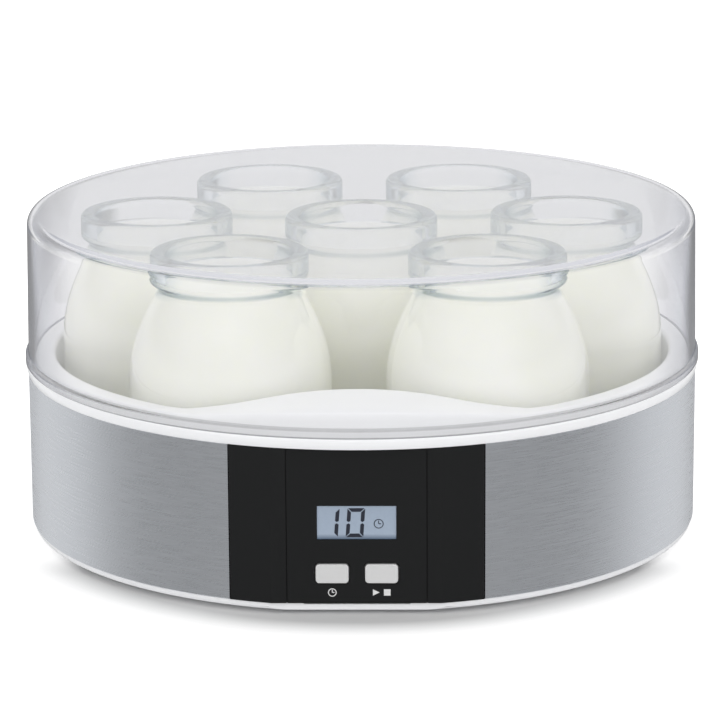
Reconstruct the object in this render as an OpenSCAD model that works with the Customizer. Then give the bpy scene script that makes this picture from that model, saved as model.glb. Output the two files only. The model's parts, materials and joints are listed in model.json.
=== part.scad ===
// Round yogurt maker for seven glass jars: a moulded housing with a heated well, a brushed steel
// band, a flat-fronted control panel and a clear lid. The front faces -Y, +Z is up, and the
// origin is the centre of the footprint on the table. All lengths are in millimetres.

/* [Jars] */
// Widest diameter of a jar's body
jar_d = 72.2; // [68:0.2:74]
// Height of a jar
jar_h = 88; // [84:1:94]
// Outer diameter of a jar's rolled lip
lip_d = 56.4; // [54:0.2:60]
// Height of the straight side of the lip
lip_h = 8; // [6:0.5:9]
// Height of the cove under the lip
cove_h = 4; // [3:0.5:6]
// Radius on both edges of the lip
lip_round = 1.4; // [0.8:0.1:2]
// Outer diameter of the neck under the lip
neck_d = 50; // [47:0.5:52]
// Height over which the shoulder swells from the neck to the body
shoulder_h = 33; // [28:1:36]
// How fast the shoulder swells, where 1 is a sine curve
shoulder_swell = 0.9; // [0.8:0.05:1.1]
// Height over which the body rounds in to the foot
heel_h = 28; // [20:1:32]
// Diameter of the foot that a jar stands on
jar_foot_d = 56; // [50:1:60]
// Width of the ring of the foot that touches the plate
foot_ring_w = 4; // [2:0.5:6]
// Height of the hollow inside that ring
punt_h = 1; // [0.4:0.1:1.6]
// Thickness of the glass wall
glass_t = 2.4; // [2:0.1:3]
// Thickness of the glass floor
glass_floor_t = 4; // [3:0.5:6]

/* [Layout] */
// Gap between two neighbouring jars of the ring
jar_gap = 0.8; // [0.5:0.1:3]
// Angle from the front to the nearest jar of the ring
front_angle = 36.9; // [35:0.1:39]
// Gap between the ring of jars and the wall of the well
well_gap = 1.5; // [1:0.1:4]
// Distance from the wall of the well to the outside of the steel band
jacket_w = 10.2; // [9.5:0.1:14]
// Gap between a jar's lip and the lid above it
lid_headroom = 2.5; // [1.5:0.5:6]

/* [Base] */
// How far the rubber feet stand below the base
foot_stand = 1.5; // [1:0.1:3]
// Diameter of a rubber foot
foot_d = 16; // [12:1:20]
// Depth of the recess that holds a rubber foot
foot_sink = 1; // [0.6:0.1:1.2]
// Radius of the circle of feet
feet_circle_r = 96; // [84:1:98]
// Thickness of the base's floor
base_t = 2.2; // [2:0.1:3]
// Height of the base's outer lip
base_lip_h = 2.7; // [2.4:0.1:5]
// How far the lip stays inside the steel band
base_inset = 0.5; // [0.2:0.1:1.5]
// Radius on the lower edge of the lip
base_round = 1.9; // [1:0.1:2.2]
// Height of the space for the electrics, from the base's underside to the floor of the well
service_h = 20.5; // [20:0.5:30]
// Number of cooling slots
vent_count = 18; // [12:1:24]
// Length of a cooling slot
vent_l = 16; // [8:1:18]
// Width of a cooling slot
vent_w = 2.6; // [2:0.1:4]
// Distance from the centre to the inner end of a cooling slot
vent_in_r = 64; // [56:1:66]
// How far the base's upstand reaches up inside the housing
upstand_h = 8.3; // [6:0.1:10]

/* [Steel band] */
// Height of the steel band
band_h = 56; // [50:1:70]
// Thickness of the steel sheet
band_t = 0.8; // [0.5:0.1:1]

/* [Top housing] */
// Wall of the moulded parts
wall = 2; // [1.6:0.1:2.4]
// How far the trim stands out past the steel band
trim_overhang = 1; // [0.6:0.1:2]
// How far the trim's lower edge draws in from its upper edge
trim_taper = 0.7; // [0.2:0.1:1]
// Height of the trim
trim_h = 3.8; // [3:0.1:6]
// Width of the ledge that the lid sits on
ledge_w = 3.6; // [3.2:0.1:4.5]
// Height of the rim round the well above the lid's ledge
rim_rise = 4.1; // [2.6:0.1:5]
// How far the nose between the front jars rises above the rim
nose_rise = 5.4; // [2:0.1:6]
// How far the tip of the nose stays from the centre of the well
nose_reach = 90.4; // [86:0.2:92]
// Angle at which the nose falls towards the front
nose_slope = 2; // [0:0.5:6]
// Radius on the outer edge of the rim
rim_round = 1.2; // [0.6:0.1:1.6]
// Radius on the upper edge of the trim
trim_round = 0.7; // [0.3:0.1:1]
// Length of the skirt inside the steel band
skirt_l = 8; // [5:0.5:12]
// Thickness of the floor of the well
floor_t = 2.2; // [1.8:0.1:3]
// Radius of the opening in the floor of the well
floor_open_r = 70; // [68:0.5:72]
// Number of gussets under the deck
gusset_count = 16; // [12:2:20]

/* [Heating] */
// Thickness of the heating plate
plate_t = 1.5; // [1:0.1:2.5]
// Gap between the heating plate and the wall of the well
plate_gap = 1.2; // [0.5:0.1:2]
// Height of the rings that centre the jars on the plate
ring_h = 0.8; // [0.4:0.1:1.2]
// Thickness of the gasket under the plate
gasket_t = 0.8; // [0.5:0.1:1.5]
// Width of the gasket
gasket_w = 6; // [3:0.5:7]
// Outer radius of the ring heater
heater_r = 57; // [50:0.5:58]
// Width of the ring heater
heater_w = 33; // [20:1:36]
// Thickness of the ring heater
heater_t = 1.2; // [0.8:0.1:1.6]
// Thickness of the insulation under the heater
felt_t = 2; // [1:0.1:2.2]
// Distance from the edge of the opening in the floor to the studs under the plate
stud_inset = 6; // [6:0.5:9]
// Radius of a stud
stud_r = 2; // [1.5:0.1:2.2]

/* [Control panel] */
// Width of the control panel
panel_w = 88.8; // [80:0.2:96]
// How far the flat front of the panel stands back from the round of the band
panel_flat = 3.6; // [3:0.1:4.2]
// Thickness of the panel
panel_t = 3; // [2.6:0.1:3.4]
// Width of the overlay let into the panel
overlay_w = 48.2; // [42:0.2:54]
// Thickness of the overlay
overlay_t = 0.8; // [0.5:0.1:1]
// Width of the display window
window_w = 27.4; // [24:0.2:30]
// Height of the display window
window_h = 12; // [10:0.2:14]
// Height of the middle of the window above the table
window_z = 33.2; // [31:0.2:36]
// Width of a button
button_w = 11.4; // [9:0.2:13]
// Height of a button
button_h = 6.8; // [5:0.2:8]
// Radius on the corners of a button
button_round = 1.3; // [0.8:0.1:2]
// Distance between the middles of the two buttons
button_pitch = 17.1; // [16:0.1:20]
// Height of the middle of the buttons above the table
button_z = 15; // [13.5:0.1:17]
// How far a button stands out of the panel
button_proud = 0.8; // [0.6:0.1:1.2]
// How far a button can be pressed
button_travel = 0.5; // [0.3:0.1:0.6]

/* [Lid] */
// Thickness of the lid
lid_t = 2; // [1.6:0.1:2.5]
// Height of the flange round the lid's foot
flange_h = 3.1; // [2:0.1:5]
// How far the flange stands out past the lid's wall
flange_w = 1.1; // [0.6:0.1:1.4]
// How far the lid's wall leans in from the flange to the top
lid_draft = 0.7; // [0.5:0.1:3]
// Radius on the lid's upper edge
lid_round = 4; // [3:0.5:8]

/* [Cord outlet] */
// Radius of the hole that a mains cord passes through
cord_hole_r = 3.5; // [3:0.1:4]
// Height of the outlet above the table
outlet_z = 19; // [18:0.5:24]

/* [Screws] */
// Shank radius of a housing screw
screw_r = 1.5; // [1.2:0.1:1.8]
// Head radius of a housing screw
screw_head_r = 3.2; // [2.8:0.1:3.4]
// Radius of the circle of housing screws
screw_circle_r = 105; // [103:0.5:106]
// Shank radius of a board screw
small_screw_r = 1; // [0.8:0.1:1.2]

/* [Hidden] */
$fn = 96;

// Clearances
slip = 0.3;         // between two moulded pieces that slide together
press = 0.05;       // round a screw, stud or nut in its hole
seat_gap = 0.1;     // behind a button's flange at rest
eps = 0.01;         // overshoot of a cutting shape
big = 200;          // reach of a cutting block

// Colours
WHITE = [0.93, 0.93, 0.94];
STEEL = [0.72, 0.73, 0.75];
BLACK = [0.11, 0.12, 0.12];
GREY = [0.82, 0.82, 0.82];
GLASS = [0.85, 0.9, 0.9, 0.4];
RUBBER = [0.2, 0.2, 0.2];
BOARD = [0.1, 0.4, 0.2];

// The ring of jars, counted from the front left one round the back
jar_r = jar_d / 2;
ring_step = (360 - 2 * front_angle) / 5;
ring_r = (jar_d + jar_gap) / (2 * sin(ring_step / 2));
function ring_place(i) =
    let (a = front_angle + i * ring_step) [-ring_r * sin(a), -ring_r * cos(a)];
jar_places = concat([[0, 0]], [for (i = [0 : 5]) ring_place(i)]);
front_jar = ring_place(5);
neck_z = jar_h - lip_h - cove_h;

// Radii of the housing
well_r = ring_r + jar_r + well_gap;
band_r = well_r + jacket_w;
band_in_r = band_r - band_t;
trim_r = band_r + trim_overhang;
rim_r = trim_r - ledge_w;
skirt_r = band_in_r - slip;
skirt_in_r = skirt_r - wall;
base_r = band_r - base_inset;

// Levels, from the table up
base_z = foot_stand;
base_top_z = base_z + base_t;
band_z = base_z + base_lip_h;
band_top_z = band_z + band_h;
ledge_z = band_top_z + trim_h;
rim_z = ledge_z + rim_rise;
floor_z = base_z + service_h;
gasket_z = floor_z + floor_t;
plate_z = gasket_z + gasket_t;
jar_z = plate_z + plate_t;
lid_top_z = jar_z + jar_h + lid_headroom + lid_t;

// The nose between the front jars: its tip is an arc that runs into an arc round each front jar
pocket_r = well_r - ring_r + 0.2;
tip_drop = nose_reach + front_jar[1];
tip_r = (front_jar[0] * front_jar[0] + tip_drop * tip_drop - pocket_r * pocket_r)
    / (2 * (pocket_r - tip_drop)) + slip;
nose_half_w = well_r * sin(front_angle);
tangent_share = (nose_reach + tip_r + front_jar[1]) / (pocket_r + tip_r);
function nose_shoulder_y(grow) = (pocket_r + grow) * tangent_share - front_jar[1];
crown_half_w = nose_half_w - 8;
crown_r = (crown_half_w * crown_half_w + nose_rise * nose_rise) / (2 * nose_rise);
crown_top_z = rim_z + nose_rise;
front_clear_y = pocket_r + wall + slip - front_jar[1];

// Control panel, measured from the flat front inwards
panel_y = band_r - panel_flat;
front_y = -panel_y;
overlay_back_y = front_y + overlay_t;
panel_back_y = front_y + panel_t;
tongue_w = 10;
tongue_half_w = panel_w / 2 + 0.56 * tongue_w;
tongue_gap = 1;
base_setback = 0.9;
window_sink = 0.3;
window_pocket = 1;
window_lip = 0.6;
display_border = 2;
flange_t = 1;
flange_lap = 1.2;
flange_y = panel_back_y + seat_gap;
plunger_y = flange_y + flange_t;
plunger_r = 1.7;
plunger_l = 2.6;
switch_y = plunger_y + 2 * button_travel + seat_gap;
switch_t = 3.5;
switch_w = 6;
switch_back_t = 0.6;
board_t = 1.6;
board_y = switch_y + switch_t;
board_back_y = board_y + board_t;
control_board_w = 58;
board_margin = 4;
control_board_low_z = band_z + board_margin;
control_board_top_z = band_top_z - board_margin;
boss_wall = 1.8;
boss_inset = 3;
control_boss_x = control_board_w / 2 - boss_inset;
control_boss_z = [control_board_low_z + boss_inset, control_board_top_z - boss_inset];
screw_grip = 3;
button_x = button_pitch / 2;
buzzer_r = 5;
buzzer_h = 6;
buzzer_place = [control_board_w / 2 - 12, control_board_top_z - 8];

// Power board on its posts
power_board_w = 80;
power_board_d = 50;
power_board_y = 3;
post_h = 4;
post_wall = 2;
post_inset = 4;
power_z = base_top_z + post_h;
power_top_z = power_z + board_t;
power_post_x = power_board_w / 2 - post_inset;
power_post_y = power_board_d / 2 - post_inset;
small_head_h = 1.6;
relay_inset = 14;
transformer_inset = 18;

// Heater clamp under the plate
spider_t = 1.2;
spider_arm_w = 10;
nut_h = 2.4;
stud_end = 1;
stud_circle_r = floor_open_r - stud_inset;
stud_l = heater_t + felt_t + spider_t + nut_h + stud_end;
spider_z = plate_z - heater_t - felt_t - spider_t;
stud_angles = [90, 210, 330];

// Temperature sensor in the middle of the plate, and the thermal fuse between it and the felt
sensor_pad_r = 6;
felt_in_r = heater_r - heater_w - 1;
fuse_r = 2;
fuse_l = 12;
clip_t = 0.6;
clip_l = 6;
clip_half_w = 5;
fuse_x = -(sensor_pad_r + felt_in_r) / 2;
fuse_z = plate_z - fuse_r - press;

// Bush that a mains cord passes through
gland_r = cord_hole_r + 1.5;

// Housing screws
tower_r = screw_head_r + 1.6;
boss_r = screw_r + 3;
tower_h = 8.5;
joint_z = base_z + tower_h;
head_h = 2.2;
head_floor_t = 4;
head_z = joint_z - head_floor_t;
screw_depth = 9;
screw_top_z = joint_z + screw_depth;
slot_l = 4;
slot_w = 0.9;
slot_depth = 1.2;
screw_angles = [0 : 60 : 300];
feet_angles = [30, 150, 210, 330];

// Points of an arc round a centre, from one angle to another
function arc(c, r, a0, a1, n = 6) =
    [for (i = [0 : n]) let (a = a0 + (a1 - a0) * i / n) [c[0] + r * cos(a), c[1] + r * sin(a)]];

module at_angles(angles, r) {
    for (a = angles) rotate(a) translate([r, 0, 0]) children();
}

module tube(r_out, r_in, h) {
    difference() {
        cylinder(r = r_out, h = h);
        translate([0, 0, -eps]) cylinder(r = r_in, h = h + 2 * eps);
    }
}

// A rectangle with round corners, in the middle of the axes
module round_rect(w, h, r) {
    square([w - 2 * r, h], center = true);
    square([w, h - 2 * r], center = true);
    for (x = [-1, 1], y = [-1, 1]) translate([x * (w / 2 - r), y * (h / 2 - r)]) circle(r);
}

// Stands a drawing of X and Z up between two distances y0 < y1
module front_slab(y0, y1) {
    translate([0, y1, 0]) rotate([90, 0, 0]) linear_extrude(y1 - y0) children();
}

// The front sector of the housing that the panel takes up, clear of the pockets round the jars
module front_cut(half_w, z0, z1) {
    translate([-half_w, -big, z0]) cube([2 * half_w, big - front_clear_y, z1 - z0]);
}

// Plan of the well, with the nose at its front. Positive grow moves the line outwards.
module well_outline(grow = 0) {
    intersection() {
        circle(well_r + grow);
        union() {
            difference() {
                circle(well_r + grow + 1);
                translate([-nose_half_w, -big])
                    square([2 * nose_half_w, big - nose_shoulder_y(grow)]);
                translate([0, -nose_reach - tip_r]) circle(tip_r - grow);
            }
            for (s = [-1, 1]) translate([s * front_jar[0], front_jar[1]]) circle(pocket_r + grow);
        }
    }
}

// The crown over the nose: a shallow barrel that falls a little towards the front
module crown(drop) {
    translate([0, -nose_reach, crown_top_z]) rotate([90 + nose_slope, 0, 0]) translate([0, -crown_r, 0])
        cylinder(r = crown_r - drop, h = big, center = true, $fn = 720);
}

module base_tray() {
    upstand_z = base_top_z + upstand_h;
    lip = concat(
        arc([base_r - base_round, base_z + base_round], base_round, -90, 0),
        [[base_r, band_z], [skirt_r, band_z], [skirt_r, upstand_z], [skirt_in_r, upstand_z],
         [skirt_in_r, base_top_z], [0, base_top_z], [0, base_z]]);
    color(WHITE) difference() {
        union() {
            difference() {
                rotate_extrude() polygon(lip);
                translate([-big, -big, 0]) cube([2 * big, big - panel_y + base_setback, band_top_z]);
                front_cut(tongue_half_w + tongue_gap, band_z, band_top_z);
            }
            at_angles(screw_angles, screw_circle_r)
                translate([0, 0, base_z]) cylinder(r = tower_r, h = joint_z - base_z);
            for (x = [-1, 1], y = [-1, 1])
                translate([x * power_post_x, power_board_y + y * power_post_y, base_z])
                    cylinder(r = small_screw_r + post_wall, h = power_z - base_z);
        }
        at_angles(screw_angles, screw_circle_r) {
            translate([0, 0, base_z - eps]) cylinder(r = screw_head_r + slip, h = head_z - base_z + eps);
            cylinder(r = screw_r + slip, h = joint_z + 1);
        }
        at_angles(feet_angles, feet_circle_r) translate([0, 0, base_z - eps])
            cylinder(r = foot_d / 2 + press, h = foot_sink + eps);
        for (x = [-1, 1], y = [-1, 1])
            translate([x * power_post_x, power_board_y + y * power_post_y, base_top_z])
                cylinder(r = small_screw_r + press, h = big / 4);
        for (i = [0 : vent_count - 1]) rotate((i + 0.5) * 360 / vent_count)
            translate([vent_in_r, -vent_w / 2, 0]) cube([vent_l, vent_w, base_top_z + eps]);
    }
}

module rubber_feet() {
    color(RUBBER) at_angles(feet_angles, feet_circle_r) rotate_extrude() polygon(concat(
        [[0, 0]],
        arc([foot_d / 2 - 0.8, 0.8], 0.8, -90, 0, 4),
        [[foot_d / 2, foot_stand + foot_sink], [0, foot_stand + foot_sink]]));
}

module base_screws() {
    color(STEEL) at_angles(screw_angles, screw_circle_r) difference() {
        union() {
            translate([0, 0, head_z - head_h]) cylinder(r = screw_head_r, h = head_h);
            translate([0, 0, head_z - eps]) cylinder(r = screw_r, h = screw_top_z - head_z + eps);
        }
        for (a = [0, 90]) rotate(a) translate([-slot_l / 2, -slot_w / 2, head_z - head_h - eps])
            cube([slot_l, slot_w, slot_depth]);
    }
}

module steel_band() {
    color(STEEL) difference() {
        translate([0, 0, band_z]) tube(band_r, band_in_r, band_h);
        front_cut(panel_w / 2, 0, ledge_z);
        translate([0, band_r + eps, outlet_z]) rotate([90, 0, 0])
            cylinder(r = gland_r, h = 2 * wall);
    }
}

// Trim, lid ledge, rim and skirt in one turn
module rim_ring() {
    deck_in_r = well_r + wall / 2;
    under_z = rim_z - wall;
    rim_in_r = rim_r - wall;
    rotate_extrude() polygon(concat(
        [[skirt_in_r, band_top_z - skirt_l], [skirt_r, band_top_z - skirt_l], [skirt_r, band_top_z],
         [trim_r - trim_taper, band_top_z]],
        arc([trim_r - trim_round, ledge_z - trim_round], trim_round, 0, 90, 4),
        [[rim_r, ledge_z]],
        arc([rim_r - rim_round, rim_z - rim_round], rim_round, 0, 90),
        [[deck_in_r, rim_z], [deck_in_r, under_z], [rim_in_r, under_z],
         [rim_in_r, ledge_z - wall + slip], [skirt_in_r, band_top_z]]));
}

module gussets() {
    gusset_h = 10;
    for (i = [0 : gusset_count - 1]) {
        a = (i + 0.5) * 360 / gusset_count;
        if (abs(a - 270) > front_angle)
            rotate(a) translate([well_r + wall / 2, -wall / 4, rim_z - wall / 2 - gusset_h])
                cube([rim_r - well_r - wall, wall / 2, gusset_h]);
    }
}

module nose_roof() {
    intersection() {
        translate([0, 0, rim_z - wall]) linear_extrude(big / 4) intersection() {
            circle(rim_r - rim_round);
            translate([-crown_half_w, -big]) square([2 * crown_half_w, big - nose_reach + 5]);
        }
        crown(0);
    }
}

module nose_pocket() {
    intersection() {
        translate([0, 0, ledge_z - trim_h]) linear_extrude(big / 4) difference() {
            intersection() {
                circle(rim_r - wall);
                translate([-crown_half_w + wall, -big])
                    square([2 * (crown_half_w - wall), big - nose_reach]);
            }
            well_outline(wall);
        }
        crown(wall);
    }
}

module top_housing() {
    color(WHITE) difference() {
        union() {
            rim_ring();
            gussets();
            nose_roof();
            translate([0, 0, rim_z - wall]) cylinder(r = well_r + wall, h = wall);
            translate([0, 0, floor_z]) linear_extrude(rim_z - floor_z - wall / 2) well_outline(wall);
            at_angles(screw_angles, screw_circle_r)
                translate([0, 0, joint_z]) cylinder(r = boss_r, h = floor_z + floor_t / 2 - joint_z);
        }
        nose_pocket();
        translate([0, 0, gasket_z]) linear_extrude(big / 2) well_outline(0);
        cylinder(r = floor_open_r, h = big / 2);
        front_cut(tongue_half_w + tongue_gap, 0, band_top_z);
        at_angles(screw_angles, screw_circle_r) cylinder(r = screw_r + press, h = screw_top_z + 1);
    }
}

module heating_plate() {
    ring_in_r = jar_foot_d / 2 + 2.6;
    color(STEEL) union() {
        translate([0, 0, plate_z]) linear_extrude(plate_t) well_outline(-plate_gap);
        for (p = jar_places) translate([p[0], p[1], jar_z - eps])
            tube(ring_in_r + 1.2, ring_in_r, ring_h + eps);
        at_angles(stud_angles, stud_circle_r)
            translate([0, 0, plate_z - stud_l]) cylinder(r = stud_r, h = stud_l + eps);
    }
}

module plate_gasket() {
    color("dimgray") translate([0, 0, gasket_z])
        tube(floor_open_r + 1 + gasket_w, floor_open_r + 1, gasket_t);
}

module ring_heater() {
    color("darkorange") translate([0, 0, plate_z - heater_t]) union() {
        tube(heater_r, heater_r - heater_w, heater_t);
        translate([-4, heater_r - 2, 0]) cube([3, 6, heater_t]);
    }
}

module insulation_felt() {
    color("beige") translate([0, 0, plate_z - heater_t - felt_t])
        tube(heater_r + 1, felt_in_r, felt_t);
}

module clamp_spider() {
    spider_r = heater_r - heater_w / 2;
    ring_half_w = 8;
    color(STEEL) translate([0, 0, spider_z]) difference() {
        union() {
            cylinder(r = spider_r + ring_half_w, h = spider_t);
            for (a = stud_angles) rotate(a) {
                translate([0, -spider_arm_w / 2, 0]) cube([stud_circle_r, spider_arm_w, spider_t]);
                translate([stud_circle_r, 0, 0]) cylinder(r = spider_arm_w / 2, h = spider_t);
            }
        }
        translate([0, 0, -eps]) cylinder(r = spider_r - ring_half_w, h = spider_t + 2 * eps);
        at_angles(stud_angles, stud_circle_r)
            translate([0, 0, -eps]) cylinder(r = stud_r + press, h = spider_t + 2 * eps);
    }
}

module clamp_nuts() {
    color("gray") at_angles(stud_angles, stud_circle_r)
        translate([0, 0, spider_z - nut_h]) difference() {
            cylinder(r = 2 * stud_r, h = nut_h, $fn = 6);
            translate([0, 0, -eps]) cylinder(r = stud_r + press, h = nut_h + 2 * eps);
        }
}

module temperature_sensor() {
    pad_t = 1;
    body_h = 4.6;
    color("silver") union() {
        translate([0, 0, plate_z - pad_t]) cylinder(r = sensor_pad_r, h = pad_t);
        translate([0, 0, plate_z - pad_t - body_h]) cylinder(r = sensor_pad_r / 2, h = body_h + eps);
    }
}

module thermal_fuse() {
    color("white") translate([fuse_x, -fuse_l / 2, fuse_z])
        rotate([-90, 0, 0]) cylinder(r = fuse_r, h = fuse_l);
}

// A strap under the fuse with a foot on each side against the plate
module fuse_clip() {
    strap_r = fuse_r + press + clip_t;
    color(STEEL) translate([fuse_x, clip_l / 2, fuse_z]) rotate([90, 0, 0])
        linear_extrude(clip_l) difference() {
            union() {
                intersection() {
                    circle(strap_r);
                    translate([-strap_r, -strap_r]) square([2 * strap_r, strap_r + fuse_r]);
                }
                translate([-strap_r, 0]) square([2 * strap_r, fuse_r]);
                translate([-clip_half_w, fuse_r - clip_t]) square([2 * clip_half_w, clip_t]);
            }
            circle(fuse_r + press);
            translate([-fuse_r - press, 0]) square([2 * (fuse_r + press), 2 * fuse_r]);
        }
}

module power_board() {
    color(BOARD) translate([0, power_board_y, power_z]) difference() {
        translate([-power_board_w / 2, -power_board_d / 2, 0])
            cube([power_board_w, power_board_d, board_t]);
        for (x = [-1, 1], y = [-1, 1])
            translate([x * power_post_x, y * power_post_y, -eps])
                cylinder(r = small_screw_r + press, h = board_t + 2 * eps);
    }
}

module power_board_screws() {
    color(STEEL) for (x = [-1, 1], y = [-1, 1])
        translate([x * power_post_x, power_board_y + y * power_post_y, power_top_z]) union() {
            cylinder(r = 2 * small_screw_r, h = small_head_h);
            translate([0, 0, -board_t - screw_grip])
                cylinder(r = small_screw_r, h = board_t + screw_grip + eps);
        }
}

// A component that stands on the power board
module on_power_board(x, y) {
    translate([x, power_board_y + y, power_top_z]) children();
}

module relay() {
    relay_l = 19;
    relay_w = 15;
    relay_h = 8.6;
    color("black") on_power_board(relay_inset - power_board_w / 2, 6) translate([-relay_l / 2, -relay_w / 2, 0])
        cube([relay_l, relay_w, relay_h]);
}

module transformer() {
    core_l = 18;
    core_w = 16;
    foot_h = 2;
    core_h = 6.4;
    coil_l = 16;
    coil_w = 12;
    coil_h = 4.4;
    color("goldenrod") on_power_board(power_board_w / 2 - transformer_inset, 8) union() {
        translate([-core_l / 2, -core_w / 2, 0]) cube([core_l, core_w, foot_h]);
        translate([-core_l / 4, -core_w / 2, foot_h - eps]) cube([core_l / 2, core_w, core_h]);
        translate([-coil_l / 2, -coil_w / 2, foot_h + 1]) cube([coil_l, coil_w, coil_h]);
    }
}

module film_capacitor() {
    film_l = 13;
    film_w = 6;
    film_h = 8;
    color("gold") on_power_board(-2, 12) translate([-film_l / 2, -film_w / 2, 0])
        cube([film_l, film_w, film_h]);
}

module terminal_block() {
    way_pitch = 7;
    block_w = 8;
    block_h = 8;
    hole_r = 2;
    hole_depth = 5;
    color("green") on_power_board(0, -17) difference() {
        translate([-2 * way_pitch - 1, -block_w / 2, 0]) cube([4 * way_pitch + 2, block_w, block_h]);
        for (i = [-1.5 : 1 : 1.5]) translate([i * way_pitch, 0, block_h - hole_depth])
            cylinder(r = hole_r, h = hole_depth + eps);
    }
}

module cord_gland() {
    neck_y = skirt_in_r - wall;
    outer_y = band_r + press;
    end_y = trim_r - press;
    back_r = gland_r + 1.4;
    back_y = sqrt(band_in_r * band_in_r - back_r * back_r) - press;
    color(BLACK) translate([0, 0, outlet_z]) rotate([-90, 0, 0]) difference() {
        union() {
            translate([0, 0, neck_y]) cylinder(r = gland_r - press, h = end_y - neck_y);
            translate([0, 0, outer_y]) cylinder(r = back_r + slip, h = end_y - outer_y);
            translate([0, 0, back_y - 1]) cylinder(r = back_r, h = 1);
        }
        translate([0, 0, neck_y - eps]) cylinder(r = cord_hole_r, h = big);
    }
}

// Plan of the panel's face: round like the band, with a flat across the front
module panel_outline(inset) {
    intersection() {
        circle(band_r - inset);
        translate([-big, -panel_y + inset]) square([2 * big, big]);
    }
}

module control_panel() {
    color(BLACK) difference() {
        union() {
            translate([0, 0, band_z]) linear_extrude(band_h) intersection() {
                difference() {
                    panel_outline(0);
                    panel_outline(panel_t);
                }
                translate([-panel_w / 2 + slip, -big]) square([panel_w - 2 * slip, big]);
            }
            translate([0, 0, band_z]) linear_extrude(band_h) intersection() {
                difference() {
                    circle(skirt_r);
                    circle(skirt_in_r);
                }
                for (s = [-1, 1]) translate([s * (tongue_half_w - tongue_w / 2) - tongue_w / 2, -big])
                    square([tongue_w, big]);
            }
            for (x = [-1, 1], z = control_boss_z) translate([x * control_boss_x, 0, z])
                front_slab(panel_back_y - 1, board_y) circle(small_screw_r + boss_wall);
        }
        translate([-overlay_w / 2 - slip, front_y - 1, 0])
            cube([overlay_w + 2 * slip, 1 + overlay_t, big]);
        translate([0, 0, window_z]) {
            front_slab(front_y - 1, overlay_back_y + window_pocket)
                square([window_w + 2 * press, window_h + 2 * press], center = true);
            front_slab(front_y - 1, panel_back_y + 1)
                square([window_w - 2 * window_lip, window_h - 2 * window_lip], center = true);
        }
        for (s = [-1, 1]) translate([s * button_x, 0, button_z]) front_slab(front_y - 1, panel_back_y + 1)
            round_rect(button_w + 2 * slip, button_h + 2 * slip, button_round + slip);
        for (x = [-1, 1], z = control_boss_z) translate([x * control_boss_x, 0, z])
            front_slab(board_y - screw_grip - slip, board_y + 1) circle(small_screw_r + press);
    }
}

module panel_overlay() {
    color(BLACK) difference() {
        translate([-overlay_w / 2, front_y, band_z]) cube([overlay_w, overlay_t, band_h]);
        translate([0, 0, window_z]) front_slab(front_y - 1, overlay_back_y + 1)
            square([window_w + 2 * press, window_h + 2 * press], center = true);
        for (s = [-1, 1]) translate([s * button_x, 0, button_z]) front_slab(front_y - 1, overlay_back_y + 1)
            round_rect(button_w + 2 * slip, button_h + 2 * slip, button_round + slip);
    }
}

module display_window() {
    color("lightsteelblue") translate([0, 0, window_z])
        front_slab(front_y + window_sink, overlay_back_y + window_pocket)
            square([window_w, window_h], center = true);
}

module display_module() {
    color("steelblue") translate([0, 0, window_z]) front_slab(panel_back_y + seat_gap, board_y)
        square([window_w + 2 * display_border, window_h + 2 * display_border], center = true);
}

module control_board() {
    color(BOARD) difference() {
        translate([-control_board_w / 2, board_y, control_board_low_z])
            cube([control_board_w, board_t, control_board_top_z - control_board_low_z]);
        for (x = [-1, 1], z = control_boss_z) translate([x * control_boss_x, 0, z])
            front_slab(board_y - 1, board_back_y + 1) circle(small_screw_r + press);
    }
}

module control_board_screws() {
    color(STEEL) for (x = [-1, 1], z = control_boss_z) translate([x * control_boss_x, 0, z]) union() {
        front_slab(board_back_y, board_back_y + small_head_h) circle(2 * small_screw_r);
        front_slab(board_y - screw_grip, board_back_y + eps) circle(small_screw_r);
    }
}

module tact_switches() {
    color("dimgray") for (s = [-1, 1]) translate([s * button_x, 0, button_z]) difference() {
        front_slab(switch_y, board_y) square(switch_w, center = true);
        front_slab(switch_y - 1, board_y - switch_back_t) circle(plunger_r + slip);
    }
}

module buzzer() {
    color("black") translate([buzzer_place[0], 0, buzzer_place[1]]) difference() {
        front_slab(board_back_y, board_back_y + buzzer_h) circle(buzzer_r);
        front_slab(board_back_y + buzzer_h - 1, board_back_y + buzzer_h + 1) circle(buzzer_r / 5);
    }
}

// One button: the cap in its hole and the flange that keeps it behind the panel
module button(s) {
    translate([s * button_x, 0, button_z]) union() {
        front_slab(front_y - button_proud, flange_y + eps) round_rect(button_w, button_h, button_round);
        front_slab(flange_y, flange_y + flange_t)
            round_rect(button_w + 2 * flange_lap, button_h + 2 * flange_lap, button_round + flange_lap);
    }
}

module plunger(s) {
    translate([s * button_x, 0, button_z]) front_slab(plunger_y, plunger_y + plunger_l) circle(plunger_r);
}

module time_button() { color(GREY) button(-1); }
module time_plunger() { color("black") plunger(-1); }
module start_button() { color(GREY) button(1); }
module start_plunger() { color("black") plunger(1); }

module lid() {
    wall_r = trim_r - flange_w;
    top_r = wall_r - lid_draft;
    in_r = wall_r - lid_t;
    in_round = lid_round - lid_t;
    color(GLASS) rotate_extrude() polygon(concat(
        [[in_r, ledge_z], [trim_r, ledge_z], [trim_r, ledge_z + 0.6 * flange_h],
         [wall_r + 0.3, ledge_z + flange_h], [wall_r, ledge_z + flange_h + 0.3]],
        arc([top_r - lid_round, lid_top_z - lid_round], lid_round, 0, 90, 8),
        [[0, lid_top_z], [0, lid_top_z - lid_t]],
        arc([top_r - lid_round, lid_top_z - lid_round], in_round, 90, 0, 6)));
}

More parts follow.
